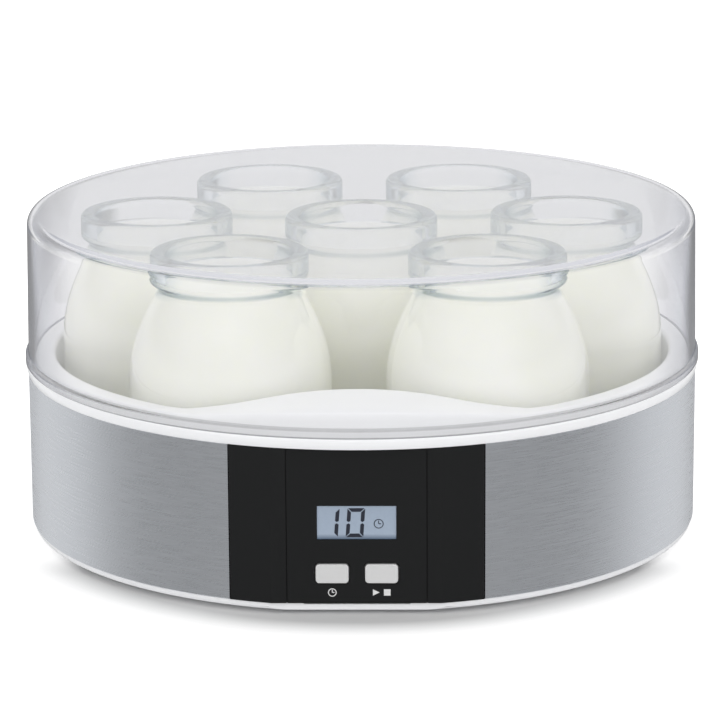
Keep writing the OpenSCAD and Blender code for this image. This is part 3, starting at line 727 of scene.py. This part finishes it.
@dataclass
class GlassJar:
    """One open glass jar and the yogurt in it. Heights count from the jar's foot."""

    node: str
    lip_d: float = 56.4 * MM
    lip_h: float = 8.0 * MM
    cove_h: float = 4.0 * MM
    lip_round: float = 1.9 * MM
    neck_d: float = 50.0 * MM
    shoulder_h: float = 33.0 * MM
    shoulder_swell: float = 0.9
    heel_h: float = 28.0 * MM
    foot_d: float = 56.0 * MM
    foot_ring_w: float = 4.0 * MM
    punt_h: float = 1.0 * MM
    glass_t: float = 2.4 * MM
    floor_t: float = 4.0 * MM
    headspace: float = 8.7 * MM
    wetting: float = 0.12 * MM
    creep: float = 0.7 * MM
    steps: int = 96
    body_r: float = field(init=False)
    height: float = field(init=False)
    middle: Point2 = field(init=False)
    foot_z: float = field(init=False)

    def __post_init__(self) -> None:
        """Takes the width, height and place from the frame."""
        low, high = extent(self.node)
        self.body_r = (high.x - low.x) / 2
        self.height = high.z - low.z
        self.middle = ((low.x + high.x) / 2, (low.y + high.y) / 2)
        self.foot_z = low.z

    @property
    def neck_z(self) -> float:
        """Height where the cove under the lip starts."""
        return self.height - self.lip_h - self.cove_h

    def _heel(self, inset: float, floor: float, share: float) -> Point2:
        """A point of the rounded heel, from the foot at 0 to the body at 1."""
        foot_r = self.foot_d / 2
        a = math.radians(90.0 * share)
        r = foot_r - inset + (self.body_r - foot_r) * math.sin(a)
        return r, floor + (self.heel_h - floor) * (1 - math.cos(a))

    def _shoulder(self, inset: float, share: float) -> Point2:
        """A point of the shoulder, from the neck at 0 to the body at 1."""
        neck_r = self.neck_d / 2
        swell = math.sin(math.radians(90.0 * share)) ** self.shoulder_swell
        return neck_r - inset + (self.body_r - neck_r) * swell, self.neck_z - share * self.shoulder_h

    def _cove(self, share: float) -> Point2:
        """A point of the cove between the neck at 0 and the lip at 1."""
        neck_r, lip_r = self.neck_d / 2, self.lip_d / 2
        return neck_r + (lip_r - neck_r) * (1 - math.cos(math.pi * share)) / 2, (
            self.neck_z + share * self.cove_h
        )

    def _raised(self, section: Sequence[Point2]) -> list[Point2]:
        """The section with its heights counted from the table."""
        return [(max(r, 0.0), z + self.foot_z) for r, z in section]

    def glass(self) -> Piece:
        """The jar itself, a closed shell of glass that replaces its CAD node."""
        mouth_r = self.neck_d / 2 - self.glass_t
        lip_r = self.lip_d / 2
        r, h = self.lip_round, self.height
        ring_in = self.foot_d / 2 - self.foot_ring_w
        outside = [(0.0, self.punt_h), (ring_in - 2 * self.punt_h, self.punt_h), (ring_in, 0.0)]
        outside += [self._heel(0.0, 0.0, i / 14) for i in range(15)]
        outside += [self._shoulder(0.0, i / 24) for i in range(24, 0, -1)]
        outside += [self._cove(i / 8) for i in range(9)]
        lip = arc((lip_r - r, h - r), r, 0, 90, 6) + arc((mouth_r + r, h - r), r, 90, 180, 6)
        inside = [self._shoulder(self.glass_t, i / 24) for i in range(25)]
        inside += [self._heel(self.glass_t, self.floor_t, i / 14) for i in range(14, -1, -1)]
        inside += [(0.0, self.floor_t)]
        bm = lathe(self._raised(outside + lip + inside), self.steps, self.middle)
        jar = dress(piece_from(bm, self.node + "_glass", 60.0), Palette.JAR.value)
        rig.replaces(jar, self.node)
        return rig.ride(jar, self.node)

    def yogurt(self) -> Piece:
        """The yogurt, which wets the inside of the glass up to its level."""
        level = self.height - self.headspace
        inset = self.glass_t - self.wetting
        mouth_r = self.neck_d / 2 - inset
        side = [(0.0, self.floor_t - self.wetting)]
        side += [self._heel(inset, self.floor_t - self.wetting, i / 12) for i in range(13)]
        side += [self._shoulder(inset, i / 20) for i in range(20, -1, -1)]
        top = [
            (mouth_r, level + self.creep),
            (mouth_r - 0.6 * MM, level + 0.35 * self.creep),
            (mouth_r - 1.6 * MM, level),
            (mouth_r * 0.6, level - 0.1 * MM),
            (0.0, level - 0.2 * MM),
        ]
        bm = lathe(self._raised(side + top), self.steps, self.middle)
        made = dress(piece_from(bm, self.node + "_yogurt", 60.0), Palette.YOGURT.value)
        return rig.ride(made, self.node)


# --- the lid


@dataclass
class Lid:
    """The clear lid: a drafted wall with a flange at its foot and a rounded upper edge."""

    wall_t: float = 2.0 * MM
    flange_h: float = 3.1 * MM
    flange_w: float = 1.1 * MM
    draft: float = 0.7 * MM
    edge_r: float = 4.0 * MM
    lift: float = 0.05 * MM
    nip: float = 0.35 * MM
    flange_round: float = 1.0 * MM
    steps: int = 256

    def build(self) -> Piece:
        """The lid as one closed shell that replaces its CAD node."""
        low, high = extent("lid")
        flange_r, foot, top = high.x, low.z + self.lift, high.z
        wall_r = flange_r - self.flange_w
        top_r = wall_r - self.draft
        edge = (top_r - self.edge_r, top - self.edge_r)
        nip, bend = self.nip, self.flange_round
        section = [(wall_r - self.wall_t, foot), (flange_r - nip, foot), (flange_r, foot + nip)]
        section += arc((flange_r - bend, foot + self.flange_h - bend), bend, 0, 80, 5)
        section += [(wall_r, foot + self.flange_h + 0.3 * MM)]
        section += arc(edge, self.edge_r, 0, 90, 14)
        section += [(0.0, top), (0.0, top - self.wall_t)]
        section += arc(edge, self.edge_r - self.wall_t, 90, 0, 10)
        bm = lathe(section, self.steps, closed=True)
        lid = dress(piece_from(bm, "clear_lid", 50.0), Palette.LID.value)
        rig.replaces(lid, "lid")
        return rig.ride(lid, "lid")


# --- the housing


@dataclass
class TopHousing:
    """The moulded top: well, rim with the nose between the front jars, ledge, trim and skirt."""

    wall: float = 2.0 * MM
    rim_round: float = 1.6 * MM
    edge_round: float = 1.4 * MM
    ledge_w: float = 3.6 * MM
    rim_rise: float = 4.1 * MM
    trim_h: float = 3.8 * MM
    trim_taper: float = 0.7 * MM
    skirt_l: float = 8.0 * MM
    band_t: float = 0.8 * MM
    slip: float = 0.3 * MM
    floor_t: float = 2.2 * MM
    open_r: float = 70.0 * MM
    nose_reach: float = 90.4 * MM
    nose_rise: float = 5.4 * MM
    nose_slope: float = 2.0
    well_gap: float = 1.5 * MM
    tongue_half_w: float = 51.0 * MM
    heel: float = 3.0 * MM
    trim_round: float = 0.7 * MM
    crowned_h: float = 12.0 * MM
    steps: int = 480

    def __post_init__(self) -> None:
        """Takes the radii and levels from the frame."""
        self.trim_r = extent("top_housing")[1].x
        self.band_r = extent("steel_band")[1].x
        self.ledge_z = extent("lid")[0].z
        self.rim_z = self.ledge_z + self.rim_rise
        self.floor_z = extent("plate_gasket")[0].z
        low, high = extent("jar_front_right")
        self.jar = Vector(((low.x + high.x) / 2, (low.y + high.y) / 2))
        jar_r = (high.x - low.x) / 2
        self.well_r = self.jar.length + jar_r + self.well_gap
        self.pocket_r = self.well_r - self.jar.length + 0.2 * MM
        drop = self.nose_reach + self.jar.y
        self.tip_r = (self.jar.x**2 + drop**2 - self.pocket_r**2) / (2 * (self.pocket_r - drop))
        self.tip = Vector((0.0, -self.nose_reach - self.tip_r))
        self.tangent_x = self.jar.x * self.tip_r / (self.tip_r + self.pocket_r)
        half = self.well_r * self.jar.x / self.jar.length - 8.0 * MM
        self.crown_r = (half**2 + self.nose_rise**2) / (2 * self.nose_rise)

    def well_edge(self, direction: Vector) -> float:
        """Distance from the centre to the wall of the well.

        Args:
            direction: A unit vector in the plan.

        Returns:
            The distance in metres.
        """
        side = Vector((abs(direction.x), direction.y))
        if side.angle(Vector((0.0, -1.0))) >= self.jar.angle(Vector((0.0, -1.0))):
            return self.well_r
        along = side.dot(self.tip)
        beside = self.tip_r**2 - self.tip.length_squared + along**2
        if beside > 0:
            hit = along - math.sqrt(beside)
            if side.x * hit <= self.tangent_x:
                return hit
        along = side.dot(self.jar)
        return along + math.sqrt(max(self.pocket_r**2 - self.jar.length_squared + along**2, 0.0))

    def crown(self, x: float, y: float) -> float:
        """How far the nose rises above the rim at a point of the plan, falling towards the front."""
        if y > 0:
            return 0.0
        fall = (-y - self.nose_reach) * math.tan(math.radians(self.nose_slope))
        return max(0.0, self.nose_rise - x * x / (2 * self.crown_r) - max(0.0, fall))

    def _section(self) -> list[Point2]:
        """The closed half section of the plain round part."""
        rim_r = self.trim_r - self.ledge_w
        skirt_r = self.band_r - self.band_t - self.slip
        skirt_in = skirt_r - self.wall
        under, floor_top = self.rim_z - self.wall, self.floor_z
        low_r, low_z = self.trim_r - self.trim_taper, self.ledge_z - self.trim_h
        heel, bend, e, rim = self.heel, self.trim_round, self.edge_round, self.rim_round
        section = [(self.open_r, floor_top), (self.open_r + 4.0 * MM, floor_top)]
        section += arc((self.well_r - heel, floor_top + heel), heel, -90, 0, 5)
        section += [(self.well_r, self.rim_z - self.crowned_h)]
        section += arc((self.well_r + rim, self.rim_z - rim), rim, 180, 90, 7)
        start, stop = self.well_r + rim, rim_r - e
        section += [(start + (stop - start) * i / 5, self.rim_z) for i in range(1, 5)]
        section += arc((rim_r - e, self.rim_z - e), e, 90, 0, 5)
        section += [(rim_r, self.ledge_z)]
        section += arc((self.trim_r - bend, self.ledge_z - bend), bend, 90, 10, 4)
        section += [(low_r + 0.05 * MM, low_z + 0.5 * MM), (low_r - 0.3 * MM, low_z)]
        section += [(skirt_r, low_z), (skirt_r, low_z - self.skirt_l), (skirt_in, low_z - self.skirt_l)]
        section += [(skirt_in, low_z), (rim_r - self.wall, self.ledge_z - 1.6 * MM)]
        section += [(rim_r - self.wall, under), (self.well_r + self.wall, under)]
        section += [(self.well_r + self.wall, self.floor_z - self.floor_t)]
        section += [(self.open_r, self.floor_z - self.floor_t)]
        return section

    def build(self) -> Piece:
        """The housing: a full turn whose well is then drawn in to the nose's outline and crowned."""
        bm = lathe(self._section(), self.steps, closed=True)
        rim_r = self.trim_r - self.ledge_w - self.edge_round
        low_z = self.ledge_z - self.trim_h
        hold = self.well_r + self.wall
        for vert in bm.verts:
            flat = Vector((vert.co.x, vert.co.y))
            r = flat.length
            if r > rim_r + 1e-6:
                if r < self.trim_r - self.ledge_w + 1e-6 and vert.co.z > self.ledge_z + 1e-6:
                    share = (vert.co.z - self.ledge_z) / self.rim_rise
                    vert.co.z += share * self.crown(flat.x, flat.y)
                elif vert.co.z < low_z and flat.y < 0 and abs(flat.x) < self.tongue_half_w:
                    vert.co.z = low_z
                continue
            direction = flat / r
            shift = self.well_edge(direction) - self.well_r
            if r <= self.well_r:
                share = (r - self.open_r) / (self.well_r - self.open_r)
            elif r <= hold + 1e-6:
                share = 1.0
            else:
                share = (rim_r - r) / (rim_r - hold)
            moved = direction * (r + shift * share)
            over = max(0.0, min(1.0, (vert.co.z - self.rim_z + self.crowned_h) / (10.0 * MM)))
            vert.co = (moved.x, moved.y, vert.co.z + over * self.crown(moved.x, moved.y))
        bmesh.ops.dissolve_degenerate(bm, dist=1e-7, edges=bm.edges)
        made = dress(piece_from(bm, "top_housing_shell", 35.0), Palette.WHITE.value)
        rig.replaces(made, "top_housing")
        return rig.ride(made, "housing")


@dataclass
class SteelBand:
    """The brushed band: a sheet bent round the housing, open at the front for the panel."""

    sheet_t: float = 0.8 * MM
    edge: float = 0.2 * MM
    gap_half_w: float = 44.4 * MM
    steps: int = 300

    def build(self) -> Piece:
        """The band with its ends closed, which replaces its CAD node."""
        low, high = extent("steel_band")
        r_out, r_in = high.x, high.x - self.sheet_t
        gap_half = math.asin(self.gap_half_w / r_out)
        bm = bmesh.new()
        e = self.edge
        section = [
            (r_in, low.z), (r_out - e, low.z), (r_out, low.z + e), (r_out, high.z - e),
            (r_out - e, high.z), (r_in, high.z),
        ]
        start = Matrix.Rotation(-math.pi / 2 + gap_half, 3, "Z")
        verts = [bm.verts.new(start @ Vector((r, 0.0, z))) for r, z in section]
        edges = [bm.edges.new(pair) for pair in zip(verts, verts[1:] + verts[:1])]
        bmesh.ops.contextual_create(bm, geom=verts)
        spun = bmesh.ops.spin(
            bm,
            geom=verts + edges,
            cent=(0.0, 0.0, 0.0),
            axis=(0.0, 0.0, 1.0),
            angle=math.tau - 2 * gap_half,
            steps=self.steps,
            use_merge=False,
        )
        last = [v for v in spun["geom_last"] if isinstance(v, bmesh.types.BMVert)]
        bmesh.ops.contextual_create(bm, geom=last)
        bmesh.ops.recalc_face_normals(bm, faces=bm.faces)
        made = dress(piece_from(bm, "brushed_band", 30.0), Palette.STEEL.value)
        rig.replaces(made, "steel_band")
        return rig.ride(made, "housing")


# --- the front panel


@dataclass
class Printed:
    """Thin slabs of ink on one face of the front. Places are (x, z)."""

    y: float
    thickness: float = 0.04 * MM
    ring_steps: int = 28
    bm: bmesh.types.BMesh = field(default_factory=bmesh.new)

    def slab(self, outline: Sequence[Point2]) -> None:
        """Adds a slab with this outline, whose back lies on the face."""
        verts = [self.bm.verts.new((x, self.y, z)) for x, z in outline]
        face = bmesh.ops.contextual_create(self.bm, geom=verts)["faces"][0]
        if face.normal.y > 0:
            face.normal_flip()
        out = bmesh.ops.extrude_face_region(self.bm, geom=[face])
        moved = [v for v in out["geom"] if isinstance(v, bmesh.types.BMVert)]
        bmesh.ops.translate(self.bm, verts=moved, vec=(0.0, -self.thickness, 0.0))

    def ring(self, at: Point2, radius: float, line: float) -> None:
        """Adds a ring with a line so wide."""
        for i in range(self.ring_steps):
            a, b = (math.tau * k / self.ring_steps for k in (i, i + 1))
            corners = ((radius, a), (radius, b), (radius - line, b), (radius - line, a))
            self.slab([(at[0] + r * math.sin(t), at[1] + r * math.cos(t)) for r, t in corners])

    def bar(self, a: Point2, b: Point2, line: float) -> None:
        """Adds a bar between two points."""
        along = Vector((b[0] - a[0], b[1] - a[1])).normalized()
        side = Vector((-along.y, along.x)) * line / 2
        ends = ((a, 1), (b, 1), (b, -1), (a, -1))
        self.slab([(end[0] + k * side.x, end[1] + k * side.y) for end, k in ends])

    def clock(self, at: Point2, radius: float, line: float) -> None:
        """Adds a plain clock sign: a ring with two hands."""
        self.ring(at, radius, line)
        self.bar(at, (at[0], at[1] + 0.68 * radius), line)
        self.bar(at, (at[0] + 0.5 * radius, at[1]), line)

    def piece(self, name: str, finish: Finish) -> Piece:
        """The slabs as one piece that rides with the housing."""
        bmesh.ops.recalc_face_normals(self.bm, faces=self.bm.faces)
        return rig.ride(dress(piece_from(self.bm, name, 30.0), finish), "housing")


@dataclass
class ControlFront:
    """The black panel, its overlay, the display with its digits, the buttons and the printed signs."""

    digit_h: float = 10.4 * MM
    digit_w: float = 6.1 * MM
    slant: float = 0.07
    stroke: float = 1.3 * MM
    segment_gap: float = 0.22 * MM
    clock_x: float = 7.6 * MM
    sign_drop: float = 6.9 * MM
    sign_r: float = 1.15 * MM
    sign_x: float = 1.9 * MM

    def __post_init__(self) -> None:
        """Takes the window's and the overlay's places from the frame."""
        self.window = extent("display_window")
        self.face_y = self.window[0].y
        self.print_y = extent("panel_overlay")[0].y

    def plates(self) -> list[Piece]:
        """The moulded panel, its overlay and the two button caps, with soft edges."""
        panel = dress(softened("control_panel", "panel_moulding", 0.25 * MM), Palette.BLACK.value)
        overlay = dress(softened("panel_overlay", "overlay_plate", 0.18 * MM), Palette.OVERLAY.value)
        buttons = [
            dress(softened(name, name + "_cap", 0.35 * MM, 3), Palette.BUTTON.value)
            for name in ("time_button", "start_button")
        ]
        return [panel, overlay, *buttons]

    def window_face(self) -> Piece:
        """The display's face behind its window."""
        low, high = self.window
        made = softened("display_window", "display_face", 0.12 * MM)
        middle = (low.z + high.z) / 2
        finish = DisplayFace(
            "display_face", (0.33, 0.40, 0.50), 0.25, "window_lens", middle_z=middle, height=high.z - low.z
        )
        return dress(made, finish)

    def digits(self) -> Piece:
        """The two digits 1 and 0 made of segments, and a small clock sign beside them."""
        low, high = self.window
        middle = Vector(((low.x + high.x) / 2, 0.0, (low.z + high.z) / 2))
        ink = Printed(self.face_y)
        for x, lit in ((-9.2 * MM, "bc"), (-0.4 * MM, "abcdef")):
            for segment in lit:
                outline = self._segment(segment)
                ink.slab([(middle.x + x + u + self.slant * w, middle.z + w) for u, w in outline])
        ink.clock((middle.x + self.clock_x, middle.z - 0.4 * MM), 1.7 * MM, 0.3 * MM)
        return ink.piece("display_digits", Palette.INK.value)

    def _segment(self, which: str) -> list[Point2]:
        """The outline of one segment of a digit, round the digit's middle."""
        w, h, s = self.digit_w / 2, self.digit_h / 2, self.stroke
        gap = self.segment_gap
        if which == "a":
            return [(-w + gap, h), (w - gap, h), (w - s - gap, h - s), (-w + s + gap, h - s)]
        if which == "d":
            return [(-w + s + gap, -h + s), (w - s - gap, -h + s), (w - gap, -h), (-w + gap, -h)]
        up = 1 if which in "bf" else -1
        right = 1 if which in "bc" else -1
        points = [(w, h - gap), (w - s, h - s - gap), (w - s, 0.3 * s + gap)]
        points += [(w - s / 2, gap), (w, 0.5 * s)]
        return [(right * x, up * z) for x, z in points]

    def signs(self) -> Piece:
        """The printed signs under the buttons: a clock, and a triangle with a square."""
        left, right = (
            (extent(name)[0] + extent(name)[1]) / 2 for name in ("time_button", "start_button")
        )
        z, r = left.z - self.sign_drop, self.sign_r
        ink = Printed(self.print_y)
        ink.clock((left.x, z), 1.5 * MM, 0.32 * MM)
        x = right.x - self.sign_x
        ink.slab([(x - r, z + r), (x + r, z), (x - r, z - r)])
        x = right.x + self.sign_x
        ink.slab([(x - r, z + r), (x + r, z + r), (x + r, z - r), (x - r, z - r)])
        return ink.piece("printed_signs", Palette.PRINT.value)

    def build(self) -> list[Piece]:
        """Everything on the front."""
        return [*self.plates(), self.window_face(), self.digits(), self.signs()]


# --- other pieces


@dataclass
class Underside:
    """The base tray, the rubber feet and the cord gland, with soft edges."""

    def build(self) -> list[Piece]:
        """The pieces seen from below and behind."""
        return [
            dress(softened("base_tray", "base_moulding", 0.3 * MM), Palette.WHITE.value),
            dress(softened("rubber_feet", "soft_feet", 0.3 * MM), Palette.RUBBER.value),
            dress(softened("cord_gland", "gland_bush", 0.25 * MM), Palette.BLACK.value),
        ]


@dataclass
class Works:
    """The pieces inside the housing, which keep their CAD shapes."""

    finishes: tuple[tuple[Palette, str], ...] = (
        (Palette.PLATED, "base_screws clamp_spider clamp_nuts fuse_clip"),
        (Palette.PLATED, "power_board_screws control_board_screws"),
        (Palette.ALUMINIUM, "heating_plate temperature_sensor"),
        (Palette.SILICONE, "plate_gasket"),
        (Palette.HEATER, "ring_heater"),
        (Palette.FELT, "insulation_felt"),
        (Palette.CERAMIC, "thermal_fuse"),
        (Palette.BOARD, "power_board control_board"),
        (Palette.PART_YELLOW, "transformer film_capacitor"),
        (Palette.PART_GREEN, "terminal_block"),
        (Palette.LCD_GLASS, "display_module"),
        (Palette.PART_BLACK, "relay tact_switches buzzer time_plunger start_plunger"),
    )

    def build(self) -> list[Piece]:
        """Dresses every inner node."""
        return [
            dress(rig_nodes()[node], chosen.value)
            for chosen, names in self.finishes
            for node in names.split()
        ]


# --- studio


@dataclass
class Studio:
    """Camera, lamps, world and floor."""

    distance: float = 1.4
    elevation: float = 14.37
    azimuth: float = 1.05
    roll: float = -0.35
    lens: float = 186.4
    aim: Vector = field(default_factory=lambda: Vector((0.0, 0.0, 59.5 * MM)))
    ring_tones: Stops = (
        (0.0, 0.47), (0.15, 0.44), (0.36, 0.42), (0.48, 0.47), (0.58, 0.72), (0.68, 1.0), (0.9, 1.0),
        (0.95, 0.5), (1.0, 0.25),
    )
    behind_tones: Stops = (
        (0.0, 0.35), (0.3, 0.10), (0.55, 0.06), (0.75, 0.2), (0.86, 0.95), (1.0, 1.0),
    )
    sky_share: Stops = ((0.0, 1.0), (0.05, 1.0), (0.25, 0.0), (0.7, 0.0), (0.9, 1.0))
    # Painted shadow: glow of the floor by distance from the object, low near it.
    shadow_tones: Stops = (
        (0.129, 0.0), (0.136, 0.27), (0.142, 0.45), (0.148, 0.55), (0.16, 0.64), (0.25, 0.67), (1.0, 1.0),
    )
    # Painted shade: tones of the floor seen through glass, with a dark ring round the object.
    floor_tones: Stops = ((0.0, 1.0), (0.17, 1.0), (0.20, 0.3), (0.28, 0.3), (0.36, 1.0), (1.0, 1.0))

    def camera(self) -> Piece:
        """A long lens a little above the rim, at the front."""
        data = bpy.data.cameras.new("front_camera")
        data.lens = self.lens
        data.sensor_width = 36.0
        data.clip_end = 50.0
        made = bpy.data.objects.new("front_camera", data)
        bpy.context.scene.collection.objects.link(made)
        turn, rise = math.radians(self.azimuth), math.radians(self.elevation)
        out = Vector(
            (math.sin(turn) * math.cos(rise), -math.cos(turn) * math.cos(rise), math.sin(rise))
        )
        made.location = self.aim + out * self.distance
        look = (-out).to_track_quat("-Z", "Y").to_matrix()
        rolled = look @ Matrix.Rotation(math.radians(self.roll), 3, "Z")
        made.rotation_euler = rolled.to_euler()
        bpy.context.scene.camera = made
        return made

    def _lamp(self, name: str, at: Vector, size: Point2, power: float, aim: Vector) -> None:
        """Adds a soft rectangular lamp."""
        data = bpy.data.lights.new(name, "AREA")
        data.shape = "RECTANGLE"
        data.size, data.size_y = size
        data.energy = power
        lamp = bpy.data.objects.new(name, data)
        bpy.context.scene.collection.objects.link(lamp)
        lamp.location = at
        lamp.rotation_euler = (aim - at).to_track_quat("-Z", "Y").to_euler()
        lamp.visible_camera = False
        lamp.visible_glossy = False
        lamp.visible_transmission = False

    def lamps(self) -> None:
        """A large soft lamp overhead and weaker ones at the sides and the front."""
        self._lamp("top_soft", Vector((0.0, 0.1, 1.1)), (1.3, 1.1), 6.2, Vector((0.0, 0.0, 0.05)))
        self._lamp("left_soft", Vector((-0.9, -0.7, 0.6)), (0.6, 0.6), 2.9, Vector((0.0, 0.0, 0.06)))
        self._lamp("right_soft", Vector((0.9, -0.7, 0.6)), (0.6, 0.6), 3.2, Vector((0.0, 0.0, 0.06)))
        self._lamp("front_soft", Vector((0.0, -1.5, 0.35)), (1.4, 0.6), 3.2, Vector((0.0, 0.0, 0.05)))

    def world(self) -> None:
        """White to the camera, softer to surfaces, with grey and bright fields for reflections."""
        made = bpy.data.worlds.new("studio")
        bpy.context.scene.world = made
        made.use_nodes = True
        graph = Graph(made.node_tree)
        x, y, z = graph.axes(graph.node("ShaderNodeTexCoord", {}, {}, "Generated"))
        flat = (x * x + y * y) ** 0.5
        back = (y / flat) * 0.5 + 0.5
        ring = graph.ramp(back, self.ring_tones)
        over = graph.ramp(z, [(0.0, 0.0), (0.03, 0.0), (0.12, 1.0), (1.0, 1.0)])
        ring = graph.blend(over, ring, grey(0.86))
        behind = graph.ramp(back, self.behind_tones)
        sky = graph.blend(graph.ramp(z, self.sky_share), behind, grey(1.0))
        shine = graph.light_path("Is Glossy Ray")
        straight = 1.0 - graph.light_path("Diffuse Depth").clamped()
        through = graph.light_path("Is Transmission Ray") * straight
        seen = graph.light_path("Is Camera Ray")
        colour = graph.blend(shine, grey(0.57), ring)
        colour = graph.blend(through, colour, sky)
        colour = graph.blend(seen, colour, grey(1.0))
        light = graph.node("ShaderNodeBackground", {}, {"Color": colour, "Strength": 1.0})
        graph.node("ShaderNodeOutputWorld", {}, {"Surface": light})

    def floor(self) -> Piece:
        """A wide white floor that keeps the contact shadow, deepened by painted shadow, shows white elsewhere and
        shows painted shade through glass.
        """
        bm = bmesh.new()
        bmesh.ops.create_grid(bm, x_segments=1, y_segments=1, size=6.0)
        made = piece_from(bm, "floor")
        data = bpy.data.materials.new("floor_white")
        data.use_nodes = True
        graph = Graph(data.node_tree)
        x, y, _ = graph.axes(graph.place())
        # Painted shadow: the glow is lower near the object and less so at the sides, and the camera sees a darker
        # diffuse copy of the floor, which deepens the contact shadow.
        beside = ((y + 0.075) / 0.09).clamped()
        away = (x * x * 1.17 + y * y) ** 0.5 + beside * beside * 0.27
        shine = graph.ramp(away, self.shadow_tones)
        lit = graph.node("ShaderNodeBsdfDiffuse", {}, {"Color": grey(0.82)})
        toned = graph.node("ShaderNodeBsdfDiffuse", {}, {"Color": grey(0.60)})
        glow = graph.node("ShaderNodeEmission", {}, {"Color": shine, "Strength": 1.0})
        both = graph.node("ShaderNodeAddShader", {}, {0: toned, 1: glow})
        # Painted shade seen through glass: the floor shows a dark band round the front and sides of the object and is
        # a little darker further back.
        front = (0.0 - y).clamped()
        spread = (x * x + front * front) ** 0.5
        shown = graph.ramp(spread, self.floor_tones)
        depth = graph.ramp(y, [(0.0, 1.0), (0.38, 1.0), (0.58, 0.88), (1.0, 0.9)])
        tone = graph.multiplied(shown, depth)
        white = graph.node("ShaderNodeEmission", {}, {"Color": tone, "Strength": 1.0})
        straight = 1.0 - graph.light_path("Diffuse Depth").clamped()
        surface = graph.mix_shader(graph.light_path("Is Camera Ray"), lit, both)
        surface = graph.mix_shader(graph.light_path("Is Transmission Ray") * straight, surface, white)
        graph.node("ShaderNodeOutputMaterial", {}, {"Surface": surface})
        made.data.materials.append(data)
        made.visible_glossy = False
        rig.stage(made)
        return made

    def build(self) -> None:
        """Sets the stage."""
        self.camera()
        self.world()
        self.lamps()
        self.floor()
        bpy.context.scene.view_settings.view_transform = "Standard"
        paths = bpy.context.scene.cycles
        paths.max_bounces, paths.diffuse_bounces, paths.transmission_bounces = 28, 12, 28
        paths.glossy_bounces, paths.transparent_max_bounces = 24, 24


JARS = (
    "jar_center", "jar_front_left", "jar_front_right", "jar_left", "jar_right",
    "jar_rear_left", "jar_rear_right",
)


def report(pieces: Sequence[Piece]) -> None:
    """Logs each piece with its size in faces."""
    for piece in pieces:
        LOG.info("%s: %d faces", piece.name, len(piece.data.polygons))


def main() -> None:
    """Builds the stage, then every sub-assembly in order, and writes the two boxes."""
    logging.basicConfig(level=logging.INFO, format="%(name)s: %(message)s")
    _FRAME.update(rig.load())
    cad_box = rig.bounds()
    Studio().build()
    report([TopHousing().build(), SteelBand().build()])
    report(ControlFront().build())
    report(Underside().build())
    report(Works().build())
    for node in JARS:
        jar = GlassJar(node)
        report([jar.glass(), jar.yogurt()])
    report([Lid().build()])
    boxes = {"cad": [list(c) for c in cad_box], "visual": [list(c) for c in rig.bounds()]}
    with open("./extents.json", "w") as out:
        json.dump(boxes, out)


if __name__ == "__main__":
    main()
